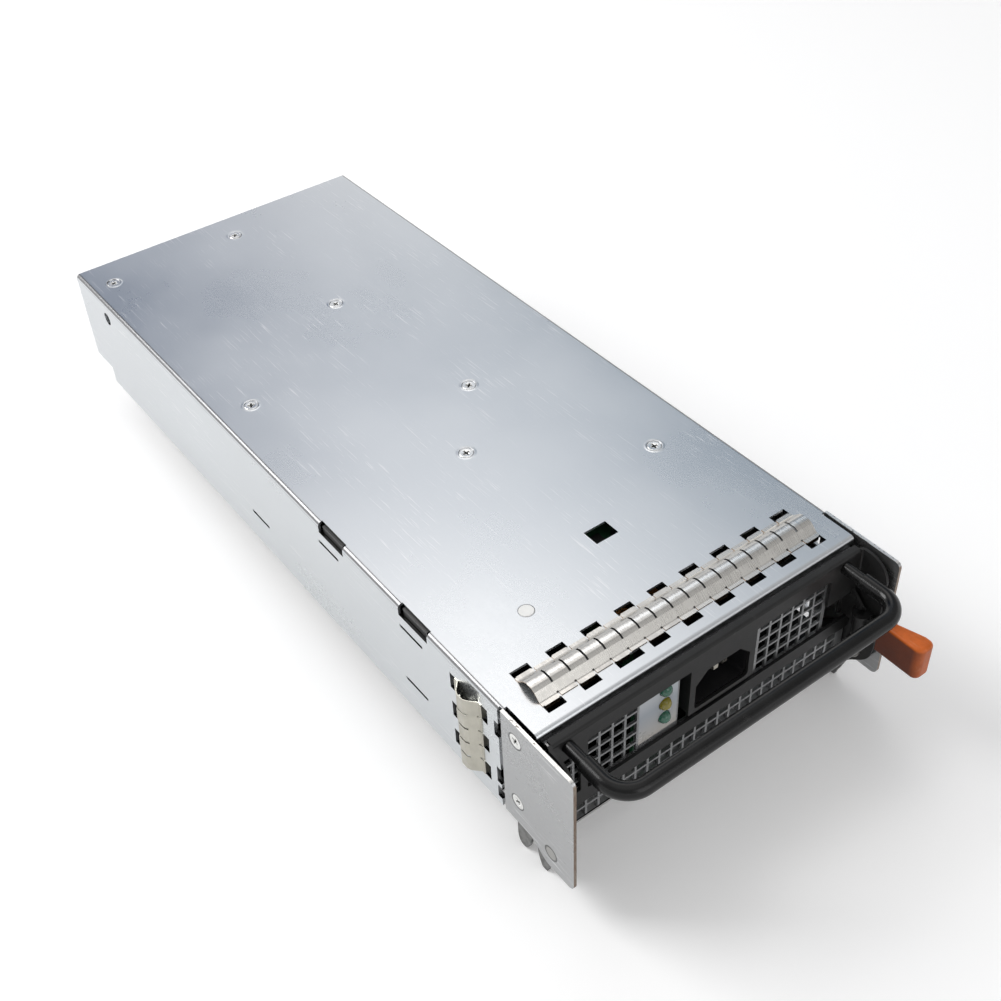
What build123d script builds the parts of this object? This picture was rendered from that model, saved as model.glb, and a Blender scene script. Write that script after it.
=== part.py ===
from build123d import *
import os
from math import cos, hypot, radians, sin, sqrt, tan

os.makedirs("parts", exist_ok=True)

# Hot swap power supply, in millimetres. X is the width, +Y runs to the rear, Z is up.
# The origin is the middle of the front edge of the case's bottom, below the cover's front edge.

# Case
case_width = 146.0
case_length = 343.3
case_height = 51.5
sheet = 1.0
slip = 0.2
cover_bend = 2.0
tray_wall_drop = 5.0
rear_step_length = 16.3
rear_step_height = 8.0
panel_front = -3.7
flange_depth = 9.0

# Faces that follow from the case sizes
half_width = case_width / 2
cover_under = case_height - sheet
tray_out = half_width - sheet - slip
tray_in = tray_out - sheet
plate_sheet = half_width - tray_out
panel_back = panel_front + sheet
rear_inside = case_length - sheet
rear_floor = rear_step_height + sheet
tray_wall_height = case_height - tray_wall_drop

# Bracket plates at the front corners
plate_front = -20.6
plate_front_right = -19.1
plate_nose = 2.4
plate_rear = 15.6
plate_low = -5.5
plate_corner = 3.0
plate_notch = 2.67
plate_screw_y = 8.4
plate_screw_heights = (43.2, 11.5)
cover_side_front = 17.2
seam_slot_depth = 2.2
seam_slots = ((36.2, 43.2), (11.4, 19.4), (3.4, 9.4))

# Handle of bent steel
handle_sheet = 1.2
arm_gap = 0.5
web_gap = 0.3
handle_bend = 2.0
arm_front = -17.2
arm_drop = 1.1
arm_corner = 9.0
web_low = 12.2
window_side = 14.5
window_low = 18.3
top_bar = 7.0
latch_port_high = 30.5
side_port_x = (-67.0, -57.5)
side_port_z = (19.5, 40.0)
latch_port_edge = 0.7
web_flange_rear = -1.9
tongue_low = 20.8
tongue_side_gap = 0.4
pivot_y = -8.9
pivot_z = 2.5
pivot_radius = 2.0
pivot_clearance = 0.05
pivot_head = 2.75
pivot_collar = 3.4
throat_y = 3.6
throat_top = -7.4
throat_width = 3.6
front_prong_low = -17.6
rear_prong_low = -17.4
prong_middle = -1.6
rear_prong_middle = 9.8
arm_foot = 6.5
heel_y = 12.9
heel_rise = 6.5
heel_curve = (0.4, 2.2)
rear_toe_curve = (2.2, 1.3)
throat_straight = 1.6
toe_curve_back = (1.9, 1.7)
front_toe_curve = ((-3.3, 5.2), (-1.7, 0.9))
shin_curve = ((-7.2, 0.8), (-3.6, -3.6), (1.2, -8.0))

# Bail
bail_drop = 3.8
bail_inset = 6.4
bail_reach = -31.0
bail_rod = 2.3
bail_grip_radius = 3.1
bail_bend = 9.0
bail_grip_start = -13.7
bail_skew = 2.0
bail_grip_slip = 0.05

# Latch on the right arm
latch_inset = 3.1
latch_plate_offset = 0.4
latch_y = -11.5
latch_sheet = 1.2
latch_low = 11.8
latch_high = 24.0
latch_plate_low = 18.6
latch_plate_high = 30.0
latch_peak = 33.0
latch_beak_y = -12.2
latch_beak_z = 26.7
ear_slot_gap = 0.6
latch_tongue_low = 18.6
latch_tongue_high = 25.4
latch_tongue_end = -28.0
latch_eye = 2.2
latch_pin_radius = 1.25
latch_pin_slip = 0.05
ear_gap = 0.3
ear_sheet = 1.2
tooth_reach = 1.6
tooth_clearance = 0.3
spring_turns = 2.5
spring_wire = 0.35
spring_radius = 1.85
grip_low = 14.8
grip_high = 29.6
grip_back = -21.0
grip_front = -39.6
grip_inset = 1.9
grip_back_width = 5.0
grip_front_width = 7.8
grip_flare = 4.5
grip_round = 2.6
grip_edge = 1.5

# Front panel mesh
mesh_pitch = 5.4
mesh_hole = 4.5
mesh_first_row = 3.8
mesh_rows_low = 3
mesh_rows_high = 5
mesh_columns_high = 10
panel_drop = 3.4
panel_margin = 3.0
panel_edge_gap = 0.7
blank_columns = (-6, 4)

# Mains inlet
inlet_x = 4.05
inlet_width = 29.2
inlet_drop = 8.5
inlet_tall = 22.1
inlet_centre_drop = 12.2
inlet_high = case_height - inlet_drop
inlet_low = inlet_high - inlet_tall
inlet_z = inlet_high - inlet_centre_drop
port_under = 3.6
inlet_depth = 27.0
cavity_width = 24.4
cavity_height = 16.2
cavity_depth = 16.5
cavity_chamfer = 5.0
cavity_corner = 1.6
port_side_gap = 4.0
port_gap = 0.2
blade_thick = 2.0
blade_tall = 4.0
blade_spacing = 14.0
blade_offset = 2.0
blade_reach = 12.0
earth_reach = 14.6
blade_tail = 6.0

# Status lamps
lamp_x = -20.8
lamp_drop = 10.9
lamp_pitch = 6.8
lamp_heights = tuple(case_height - lamp_drop - lamp_pitch * row for row in (2, 1, 0))
lamp_radius = 2.45
lamp_hole = 2.6
lamp_proud = 2.3
lamp_flange = 2.9
lamp_back = 3.4
lamp_board_thick = 1.6
lamp_board_width = 13.6

# Contact finger strips
finger_pitch = 7.26
finger_stock = 0.3
finger_rise = 3.6
finger_slit = 0.75
finger_rows = 17.6
slot_across = 3.1
finger_tab = 1.6
top_strip_fingers = 17
top_strip_y = 6.8
side_strip_fingers = 5
side_strip_y = 24.6
side_strip_top = 44.2
crest_half = 3.0
crest_edge = 0.75
long_slot_extra = 3.3
long_slot_index = 2

# Cover openings and marks
window_centre = (3.2, 57.7)
window_size = (9.9, 7.4)
plug_centre = (-40.6, 44.2)
plug_radius = 2.75
plug_slip = 0.15
lip_height = 3.0
left_notches = ((56.4, 73.6), (109.5, 126.2))
right_notches = ((178.0, 194.0), (292.0, 308.0))
notch_in = 2.1
notch_down = 4.6
tab_end_gap = 1.4
right_notch_in = 0.8
left_slits = ((66.8, 41.7), (120.8, 41.7), (66.8, 14.6), (179.6, 15.4))
slit_length = 13.9
slit_height = 1.3
side_hole = (313.2, 42.8)
side_hole_radius = 3.0

# Screws
screw_head = 3.0
screw_shank = 1.45
screw_bore = 1.5
screw_reach = 5.0
screw_cone = 120.0
post_screws = ((7.4, 244.6), (-57.7, 203.7), (17.8, 158.3), (-8.0, 124.2), (49.9, 81.9))
rear_screw_x = (-62.2, 1.0)
rear_screw_inset = 17.3
post_radius = 3.0
rear_flange = 22.0

# Boards and what stands on them
board_z = 6.0
board_thick = 1.6
board_front = 76.0
board_rear_gap = 21.3
board_side_gap = 3.0
foot_radius = 2.5
foot_bore = 1.3
foot_screw_radius = 2.6
foot_screw_height = 1.8
foot_rows = 4
foot_end = 8.0
foot_inset = 8.8
insulator = 0.4
input_board_z = 15.6
input_board_rear = 74.0
input_post_inset = 3.4
seat = 0.3

# Fans
fan_size = 40.0
fan_depth = 28.0
fan_y = 46.0
fan_offsets = (-34.2, 40.2)
fan_bore = 18.6
fan_tip = 17.9
fan_hub = 10.5
fan_hub_depth = 17.0
fan_blades = 7
fan_blade = 1.3
fan_blade_chord = 13.0
fan_blade_twist = 38.0
fan_shaft = 1.5
fan_motor = 9.6
fan_back = 4.0
fan_strut = 2.2
fan_corner_hole = 1.8
fan_corner_inset = 4.0
hub_round = 3.0

# Rear connector
connector_x = 31.0
connector_width = 52.0
connector_height = 13.0
connector_depth = 26.0
connector_proud = 3.0
connector_wall = 1.6
connector_floor = 8.0
contact_count = 8
contact_pitch = 6.0
contact_thick = 0.9
contact_tall = 7.0
vent_pitch = 6.0
vent_radius = 2.2
vent_columns = 20
vent_rows = 3
vent_low = 33.0


def front_plane(y):
    """A plane facing the front at depth y, with X to the right and Z up."""
    return Plane(origin=(0, y, 0), x_dir=(1, 0, 0), z_dir=(0, -1, 0))


def side_plane(x):
    """A plane facing +X at x, with Y to the right and Z up."""
    return Plane(origin=(x, 0, 0), x_dir=(0, 1, 0), z_dir=(1, 0, 0))


def top_plane(z):
    """A level plane at height z."""
    return Plane.XY.offset(z)


def save(builder, name):
    """Labels a finished piece and writes it as a STEP file."""
    builder.part.label = name
    export_step(builder.part, f"parts/{name}.step")


def inlet_outline(margin):
    """Six-sided outline of the inlet's cavity, widened by a margin, in the front view."""
    with BuildSketch() as outline:
        with Locations((inlet_x, inlet_z)):
            Rectangle(cavity_width + 2 * margin, cavity_height + 2 * margin)
        chamfer(outline.vertices().group_by(Axis.Y)[-1], cavity_chamfer)
        fillet(outline.vertices().group_by(Axis.Y)[0], cavity_corner)
    return outline.sketch


def finger_centres(count, first):
    """Centres of every second finger along a strip that starts at first."""
    return [first + finger_pitch * (index + 0.5) for index in range(0, count, 2)]


# Places that several pieces share
arm_out = tray_in - arm_gap
arm_in = arm_out - handle_sheet
arm_top = case_height - arm_drop
window_half = arm_in - window_side
window_high = arm_top - top_bar
bail_z = arm_top - bail_drop
bail_half = arm_in - bail_inset
bail_right = bail_half - bail_skew
latch_x = arm_in - latch_inset
grip_left = latch_x - grip_inset
panel_height = case_height - panel_drop
board_rear = case_length - board_rear_gap
rear_screws = tuple((x, case_length - rear_screw_inset) for x in rear_screw_x)
foot_x = tray_in - foot_inset
foot_step = (board_rear - board_front - 2 * foot_end) / (foot_rows - 1)
foot_row_y = [board_front + foot_end + foot_step * index for index in range(foot_rows)]
web_back = panel_front - web_gap
web_front = web_back - handle_sheet
panel_half = arm_in - panel_edge_gap
strip_front = top_strip_y + slot_across / 2
strip_width = finger_rows - slot_across
top_strip_start = -top_strip_fingers * finger_pitch / 2
top_slot_x = finger_centres(top_strip_fingers, top_strip_start)
side_strip_low = side_strip_top - side_strip_fingers * finger_pitch
side_slot_z = finger_centres(side_strip_fingers, side_strip_low)
side_strip_front = side_strip_y + slot_across / 2
hook_slot_rear = pivot_y + hypot(heel_y - pivot_y, pivot_z - rear_prong_low) + sheet
port_left = inlet_x - inlet_width / 2 - port_side_gap
port_right = inlet_x + inlet_width / 2 + port_gap
board_top = board_z + board_thick
input_board_top = input_board_z + board_thick
cover_screws_xy = post_screws + rear_screws
foot_centres = [(x, y) for x in (-foot_x, foot_x) for y in foot_row_y]

# Top cover: the lid and both side walls, bent from one sheet
with BuildPart() as top_cover:
    with BuildSketch(front_plane(0)):
        with BuildLine():
            FilletPolyline(
                (-half_width, 0),
                (-half_width, case_height),
                (half_width, case_height),
                (half_width, 0),
                radius=cover_bend,
            )
            offset(amount=sheet, side=Side.RIGHT)
        make_face()
    extrude(amount=-case_length)
    # Down-turned lip along the front edge
    with BuildSketch(side_plane(plate_notch - half_width)):
        with BuildLine():
            FilletPolyline(
                (sheet + cover_bend, case_height),
                (0, case_height),
                (0, case_height - lip_height),
                radius=cover_bend - slip,
            )
            offset(amount=sheet, side=Side.LEFT)
        make_face()
    extrude(amount=2 * (half_width - plate_notch))
    with BuildSketch(side_plane(plate_notch - half_width)):
        with BuildLine():
            FilletPolyline(
                (sheet + cover_bend, case_height),
                (0, case_height),
                (0, case_height - lip_height),
                radius=cover_bend - slip,
            )
            Polyline((0, case_height - lip_height), (-sheet, case_height - lip_height))
            Polyline((-sheet, case_height - lip_height), (-sheet, case_height + sheet))
            Polyline((-sheet, case_height + sheet), (sheet + cover_bend, case_height + sheet))
            Polyline((sheet + cover_bend, case_height + sheet), (sheet + cover_bend, case_height))
        make_face()
    extrude(amount=2 * (half_width - plate_notch), mode=Mode.SUBTRACT)
    # Front corners cut back for the bracket plates
    with BuildSketch(top_plane(-sheet)):
        for side in (-1, 1):
            with Locations((side * (half_width - plate_notch), -sheet)):
                Rectangle(
                    2 * plate_notch,
                    plate_rear + sheet,
                    align=(Align.MIN if side > 0 else Align.MAX, Align.MIN),
                )
            with Locations((side * (tray_out + slip / 2), -sheet)):
                Rectangle(
                    2 * sheet,
                    cover_side_front + sheet,
                    align=(Align.MIN if side > 0 else Align.MAX, Align.MIN),
                )
    extrude(amount=case_height + 2 * sheet, mode=Mode.SUBTRACT)
    # Openings in both side walls: seam slots, contact strip slots and the rear step
    with BuildSketch(side_plane(-half_width - sheet)):
        for low, high in seam_slots:
            with Locations((cover_side_front, (low + high) / 2)):
                Rectangle(2 * seam_slot_depth, high - low)
        for y in (side_strip_y, side_strip_y + finger_rows):
            with Locations(*[(y, z) for z in side_slot_z]):
                Rectangle(slot_across, finger_pitch)
        with Locations((case_length, 0)):
            Rectangle(2 * rear_step_length, 2 * rear_step_height)
    extrude(amount=case_width + 2 * sheet, mode=Mode.SUBTRACT)
    # Slits, the round hole and the tab notches of the left wall
    with BuildSketch(side_plane(-half_width - sheet)):
        with Locations(*left_slits):
            SlotOverall(slit_length, slit_height)
        with Locations(side_hole):
            Circle(side_hole_radius)
    extrude(amount=3 * sheet, mode=Mode.SUBTRACT)
    with BuildSketch(side_plane(-half_width - sheet)):
        for start, end in left_notches:
            with Locations(((start + end) / 2, case_height)):
                Rectangle(end - start, 2 * notch_down)
    extrude(amount=sheet + notch_in, mode=Mode.SUBTRACT)
    with BuildSketch(side_plane(half_width + sheet)):
        for start, end in right_notches:
            with Locations(((start + end) / 2, case_height)):
                Rectangle(end - start, 2 * notch_down)
    extrude(amount=-sheet - right_notch_in, mode=Mode.SUBTRACT)
    # Openings in the lid
    with BuildSketch(top_plane(case_height + sheet)):
        for y in (top_strip_y, top_strip_y + finger_rows):
            with Locations(*[(x, y) for x in top_slot_x]):
                Rectangle(finger_pitch, slot_across)
        with Locations((top_slot_x[long_slot_index] - finger_pitch / 2, top_strip_y)):
            Rectangle(finger_pitch + long_slot_extra, slot_across, align=(Align.MIN, Align.CENTER))
        with Locations(window_centre):
            Rectangle(*window_size)
        with Locations(plug_centre):
            Circle(plug_radius + plug_slip)
    extrude(amount=-3 * sheet, mode=Mode.SUBTRACT)
    with Locations(*[(x, y, case_height) for x, y in cover_screws_xy]):
        CounterSinkHole(screw_bore, screw_head, depth=3 * sheet, counter_sink_angle=screw_cone)
save(top_cover, "top_cover")

# Base tray: floor, side walls and the raised rear part of the floor
with BuildPart() as base_tray:
    with BuildSketch(side_plane(-tray_out)):
        with BuildLine():
            Polyline(
                (panel_front, 0),
                (case_length - rear_step_length, 0),
                (case_length - rear_step_length, rear_step_height),
                (rear_inside, rear_step_height),
            )
            offset(amount=sheet, side=Side.LEFT, kind=Kind.INTERSECTION)
        make_face()
    extrude(amount=2 * tray_out)
    for side in (-1, 1):
        with BuildSketch(side_plane(side * tray_out)):
            with BuildLine():
                Polyline(
                    (-sheet, 0),
                    (case_length - rear_step_length, 0),
                    (case_length - rear_step_length, rear_step_height),
                    (rear_inside, rear_step_height),
                    (rear_inside, tray_wall_height),
                    (-sheet, tray_wall_height),
                    close=True,
                )
            make_face()
        extrude(amount=-side * sheet)
    # Tabs that stand in the notches of the cover's left edge
    with BuildSketch(side_plane(-tray_out)):
        for start, end in left_notches:
            with Locations(((start + end) / 2, tray_wall_height - sheet)):
                Rectangle(
                    end - start - 2 * tab_end_gap,
                    cover_under - slip - tray_wall_height + sheet,
                    align=(Align.CENTER, Align.MIN),
                )
    extrude(amount=sheet)
    bend_edges = (
        base_tray.edges()
        .filter_by(Axis.Y)
        .filter_by(lambda e: abs(abs(e.center().X) - tray_out) < 0.01 and e.center().Z < 0.01)
    )
    fillet(bend_edges, 0.8 * sheet)
    # Corner slots that let the handle's hooks swing
    with BuildSketch(top_plane(-sheet)):
        for side in (-1, 1):
            with Locations((side * panel_half, panel_front - sheet)):
                Rectangle(
                    half_width,
                    plate_rear + sheet - panel_front,
                    align=(Align.MIN if side > 0 else Align.MAX, Align.MIN),
                )
                Rectangle(
                    tray_in - panel_half,
                    hook_slot_rear + sheet - panel_front,
                    align=(Align.MIN if side > 0 else Align.MAX, Align.MIN),
                )
    extrude(amount=2 * sheet, mode=Mode.SUBTRACT)
    # Openings in both walls behind the seam slots and the side strips, and the plate screws
    with BuildSketch(side_plane(-half_width)):
        for low, high in seam_slots:
            with Locations((cover_side_front, (low + high) / 2)):
                Rectangle(3 * seam_slot_depth, high - low + sheet)
        for y in (side_strip_y, side_strip_y + finger_rows):
            with Locations(*[(y, z) for z in side_slot_z]):
                Rectangle(slot_across + 2 * sheet, finger_pitch + sheet)
        with Locations(*[(plate_screw_y, z) for z in plate_screw_heights]):
            Circle(screw_bore)
    extrude(amount=case_width, mode=Mode.SUBTRACT)
save(base_tray, "base_tray")

# Front panel: square mesh, a blank field for the lamps and the port of the mains inlet
mesh_columns_low = int((panel_half - panel_margin) / mesh_pitch)
column_x = [mesh_pitch * (index + 0.5) for index in range(-mesh_columns_low, mesh_columns_low)]
row_z = [mesh_first_row + mesh_pitch * index for index in range(mesh_rows_low + mesh_rows_high)]
blank_left = blank_columns[0] * mesh_pitch
blank_right = blank_columns[1] * mesh_pitch
mesh_centres = [(x, z) for z in row_z[:mesh_rows_low] for x in column_x]
mesh_centres += [
    (x, z)
    for z in row_z[mesh_rows_low:]
    for x in column_x
    if x < mesh_columns_high * mesh_pitch and not blank_left < x < blank_right
]
mesh_centres = [
    (x, z) for x, z in mesh_centres if x < window_half - mesh_pitch / 2 or z < web_low - mesh_hole / 2
]
port_low = inlet_low - port_under
plate_left = latch_x + latch_plate_offset
tooth_x = plate_left - tooth_reach
with BuildPart() as front_panel:
    with BuildSketch(side_plane(-panel_half)):
        with BuildLine():
            FilletPolyline(
                (panel_front + sheet + flange_depth, sheet),
                (panel_front, sheet),
                (panel_front, panel_height),
                (panel_front + sheet + flange_depth, panel_height),
                radius=1.2 * sheet,
            )
            offset(amount=sheet, side=Side.RIGHT)
        make_face()
    extrude(amount=2 * panel_half)
    with BuildSketch(front_plane(panel_front)):
        with Locations(*mesh_centres):
            Rectangle(mesh_hole, mesh_hole)
        with BuildLine():
            Polyline(
                (port_left, port_low),
                (port_right, port_low),
                (port_right, inlet_high + port_gap),
                (port_left, inlet_high + port_gap),
                close=True,
            )
        make_face()
        with Locations(*[(lamp_x, z) for z in lamp_heights]):
            Circle(lamp_hole)
        with BuildLine():
            Polyline(
                (window_half + latch_port_edge, web_low),
                (panel_half + sheet, web_low),
                (panel_half + sheet, latch_port_high + sheet),
                (window_half + latch_port_edge, latch_port_high + sheet),
                close=True,
            )
        make_face()
    extrude(amount=-2 * sheet, mode=Mode.SUBTRACT)
    # Row of slots in the top flange, between the handle and the cover's lip
    with BuildSketch(top_plane(panel_height + sheet)):
        with Locations(*[(x, panel_front + 2.2 * sheet) for x in column_x]):
            Rectangle(mesh_hole, mesh_hole / 2)
    extrude(amount=-3 * sheet, mode=Mode.SUBTRACT)
save(front_panel, "front_panel")

# Rear panel with its connector port, round vents and a flange under the cover
vent_centres = [
    (vent_pitch * (column - (vent_columns - 1) / 2 + 0.25 * (-1) ** row), vent_low + vent_pitch * row)
    for row in range(vent_rows)
    for column in range(vent_columns)
]
connector_low = rear_floor + sheet
with BuildPart() as rear_panel:
    with BuildSketch(side_plane(-tray_in + slip)):
        with BuildLine():
            FilletPolyline(
                (case_length, rear_floor),
                (case_length, cover_under),
                (case_length - rear_flange, cover_under),
                radius=cover_bend,
            )
            offset(amount=sheet, side=Side.LEFT)
        make_face()
    extrude(amount=2 * (tray_in - slip))
    with BuildSketch(front_plane(rear_inside - sheet)):
        with Locations((connector_x, connector_low)):
            Rectangle(
                connector_width + 2 * slip,
                connector_height + 2 * slip,
                align=(Align.CENTER, Align.CENTER),
            )
            Rectangle(
                connector_width + 2 * slip,
                connector_height + slip,
                align=(Align.CENTER, Align.MIN),
            )
        with Locations(*vent_centres):
            RegularPolygon(vent_radius, 6)
    extrude(amount=-3 * sheet, mode=Mode.SUBTRACT)
    with Locations(*[(x, y, cover_under) for x, y in rear_screws]):
        Hole(screw_bore, depth=3 * sheet)
save(rear_panel, "rear_panel")


# Bracket plates that carry the handle's pivots, flush with the cover's side walls
for side, front, plate_name in (
    (-1, plate_front, "left_bracket_plate"),
    (1, plate_front_right, "right_bracket_plate"),
):
    with BuildPart() as bracket_plate:
        with BuildSketch(side_plane(side * half_width)) as outline:
            with BuildLine():
                Polyline(
                    (pivot_y, plate_low),
                    (front, plate_low),
                    (front, case_height),
                    (plate_rear, case_height),
                    (plate_rear, 0),
                    (throat_y, 0),
                )
                Spline((throat_y, 0), (pivot_y, plate_low), tangents=((-1, 0), (-1, 0)))
            make_face()
            front_corners = outline.vertices().group_by(Axis.X)[0].sort_by(Axis.Y)
            fillet(front_corners[0], plate_corner)
            fillet(outline.vertices().group_by(Axis.X)[0].sort_by(Axis.Y)[-1], plate_nose)
        extrude(amount=-side * plate_sheet)
        with BuildSketch(side_plane(side * half_width)):
            with Locations((pivot_y, pivot_z)):
                Circle(pivot_head)
        extrude(amount=-side * plate_sheet, mode=Mode.SUBTRACT)
        outer_face = Plane(
            origin=(side * half_width, 0, 0), x_dir=(0, side, 0), z_dir=(side, 0, 0)
        )
        with Locations(outer_face):
            with Locations(*[(side * plate_screw_y, z) for z in plate_screw_heights]):
                CounterSinkHole(screw_bore, screw_head, depth=2 * plate_sheet, counter_sink_angle=screw_cone)
    save(bracket_plate, plate_name)


def turned(profile, plane):
    """Revolves a half profile of (radius, height) points about the plane's normal."""
    half_plane = Plane(origin=plane.origin, x_dir=plane.x_dir, z_dir=plane.y_dir * -1)
    with BuildSketch(half_plane) as half_section:
        with BuildLine():
            Polyline(*profile, close=True)
        make_face()
    revolve(half_section.sketch, axis=Axis(plane.origin, plane.z_dir))


# Shouldered pivot rivets: head in the plate, collar, journal for the arm and inner head
rivet_profile = (
    (0, 0),
    (pivot_head - slip / 4, 0),
    (pivot_head - slip / 4, -plate_sheet),
    (pivot_collar, -plate_sheet),
    (pivot_collar, -(half_width - arm_out) + slip / 2),
    (pivot_radius, -(half_width - arm_out) + slip / 2),
    (pivot_radius, -(half_width - arm_in) - slip / 2),
    (pivot_collar, -(half_width - arm_in) - slip / 2),
    (pivot_collar, -(half_width - arm_in) - sheet),
    (0, -(half_width - arm_in) - sheet),
)
with BuildPart() as pivot_rivets:
    for side in (-1, 1):
        turned(
            rivet_profile,
            Plane(
                origin=(side * half_width, pivot_y, pivot_z), x_dir=(0, 1, 0), z_dir=(side, 0, 0)
            ),
        )
save(pivot_rivets, "pivot_rivets")


def countersunk(reach):
    """Half profile of a countersunk screw of the given length."""
    cone_depth = (screw_head - screw_bore) / tan(radians(screw_cone / 2))
    return (
        (0, 0),
        (screw_shank + screw_head - screw_bore, 0),
        (screw_shank, -cone_depth),
        (screw_shank, -reach),
        (0, -reach),
    )


# Screws that hold the bracket plates, with tails flush with the tray wall
with BuildPart() as bracket_screws:
    for side in (-1, 1):
        for z in plate_screw_heights:
            turned(
                countersunk(plate_sheet + sheet - slip / 2),
                Plane(
                    origin=(side * half_width, plate_screw_y, z),
                    x_dir=(0, 1, 0),
                    z_dir=(side, 0, 0),
                ),
            )
save(bracket_screws, "bracket_screws")

# Screws through the lid
with BuildPart() as cover_screws:
    for x, y in cover_screws_xy:
        turned(
            countersunk(screw_reach),
            Plane(origin=(x, y, case_height), x_dir=(1, 0, 0), z_dir=(0, 0, 1)),
        )
save(cover_screws, "cover_screws")

# Hexagon posts under the lid's inner screws
with BuildPart() as cover_posts:
    with BuildSketch(top_plane(board_top)):
        with Locations(*post_screws):
            RegularPolygon(post_radius, 6)
            Circle(screw_bore, mode=Mode.SUBTRACT)
    extrude(amount=cover_under - board_top)
save(cover_posts, "cover_posts")

# Round plug pressed into the lid
with BuildPart() as cover_plug:
    with BuildSketch(top_plane(cover_under)):
        with Locations(plug_centre):
            Circle(plug_radius)
    extrude(amount=sheet + slip)
    chamfer(cover_plug.edges().group_by(Axis.Z)[-1], slip)
    with BuildSketch(top_plane(cover_under)):
        with Locations(plug_centre):
            Circle(plug_radius + sheet)
    extrude(amount=-sheet)
save(cover_plug, "cover_plug")


def finger_section(plane):
    """Closed section of a contact strip: feet at the slots and a flattened arch between."""
    middle = strip_width / 2
    with BuildSketch(plane) as section:
        with BuildLine():
            FilletPolyline(
                (0, finger_stock),
                (slot_across / 2, finger_stock),
                (middle - crest_half, finger_rise - crest_edge),
                (middle - crest_half / 2, finger_rise),
                (middle + crest_half / 2, finger_rise),
                (middle + crest_half, finger_rise - crest_edge),
                (strip_width - slot_across / 2, finger_stock),
                (strip_width, finger_stock),
                radius=crest_edge,
            )
            offset(amount=finger_stock, side=Side.RIGHT)
        make_face()
    return section.sketch


def finger_strip(section_plane, slit_plane, length, first, centres):
    """Strip of sprung contact fingers: arch, slits between the fingers and clip tabs."""
    extrude(finger_section(section_plane), amount=length)
    ends = [first + finger_pitch * index for index in range(1, round(length / finger_pitch))]
    with BuildSketch(slit_plane) as slits:
        with Locations(*[(place, strip_width / 2) for place in ends]):
            Rectangle(finger_slit, 2 * crest_half)
        with Locations(*[(place, 0) for place in ends]):
            Rectangle(finger_slit, slot_across + crest_edge)
        with Locations(*[(place, strip_width) for place in ends]):
            Rectangle(finger_slit, slot_across + crest_edge)
    extrude(slits.sketch, amount=2 * finger_rise, mode=Mode.SUBTRACT)
    with BuildSketch(slit_plane.offset(finger_stock)) as tabs:
        for across in (-finger_stock, strip_width + finger_stock):
            with Locations(*[(place, across) for place in centres]):
                Rectangle(
                    finger_pitch - 2 * finger_slit,
                    finger_stock,
                    align=(Align.CENTER, Align.MIN if across < 0 else Align.MAX),
                )
    extrude(tabs.sketch, amount=-finger_tab - finger_stock)


# Contact strip across the lid
with BuildPart() as top_finger_strip:
    finger_strip(
        Plane(origin=(top_strip_start, strip_front, case_height), x_dir=(0, 1, 0), z_dir=(1, 0, 0)),
        Plane(origin=(0, strip_front, case_height), x_dir=(1, 0, 0), z_dir=(0, 0, 1)),
        top_strip_fingers * finger_pitch,
        top_strip_start,
        top_slot_x,
    )
save(top_finger_strip, "top_finger_strip")

# Contact strips on the side walls
for side, strip_name in ((-1, "left_finger_strip"), (1, "right_finger_strip")):
    with BuildPart() as side_strip:
        outward = (side, 0, 0)
        start = side_strip_low if side < 0 else -side_strip_top
        finger_strip(
            Plane(
                origin=(side * half_width, side_strip_front, side_strip_low if side < 0 else side_strip_top),
                x_dir=(0, 1, 0),
                z_dir=(0, 0, -side),
            ),
            Plane(origin=(side * half_width, side_strip_front, 0), x_dir=(0, 0, -side), z_dir=outward),
            side_strip_fingers * finger_pitch,
            start,
            [-side * z for z in side_slot_z],
        )
    save(side_strip, strip_name)

# Mains inlet: block behind the handle's window with a six-sided cavity
with BuildPart() as inlet_housing:
    with BuildSketch(front_plane(panel_front)):
        with Locations((inlet_x, (inlet_low + inlet_high) / 2)):
            Rectangle(inlet_width, inlet_high - inlet_low)
    extrude(amount=-inlet_depth)
    fillet(inlet_housing.edges().filter_by(Axis.Y), slip)
    with BuildSketch(front_plane(panel_front)):
        add(inlet_outline(0))
    extrude(amount=-cavity_depth, mode=Mode.SUBTRACT)
    with BuildSketch(front_plane(panel_front + cavity_depth - sheet)):
        with Locations(
            (inlet_x - blade_spacing / 2, inlet_z - blade_offset),
            (inlet_x + blade_spacing / 2, inlet_z - blade_offset),
            (inlet_x, inlet_z + blade_offset),
        ):
            Rectangle(blade_thick, blade_tall)
    extrude(amount=-inlet_depth, mode=Mode.SUBTRACT)
save(inlet_housing, "inlet_housing")

# The inlet's three blades, the earth blade longer and on the chamfered side
with BuildPart() as inlet_blades:
    for x, z, reach in (
        (inlet_x - blade_spacing / 2, inlet_z - blade_offset, blade_reach),
        (inlet_x + blade_spacing / 2, inlet_z - blade_offset, blade_reach),
        (inlet_x, inlet_z + blade_offset, earth_reach),
    ):
        with BuildSketch(front_plane(panel_front + cavity_depth - reach)):
            with Locations((x, z)):
                Rectangle(blade_thick, blade_tall)
        extrude(amount=-(reach + inlet_depth - cavity_depth + blade_tail))
    tips = inlet_blades.edges().filter_by(Axis.X).filter_by(
        lambda e: e.center().Y < panel_front + cavity_depth - blade_reach + sheet
    )
    chamfer(tips, slip * 3)
save(inlet_blades, "inlet_blades")


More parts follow.
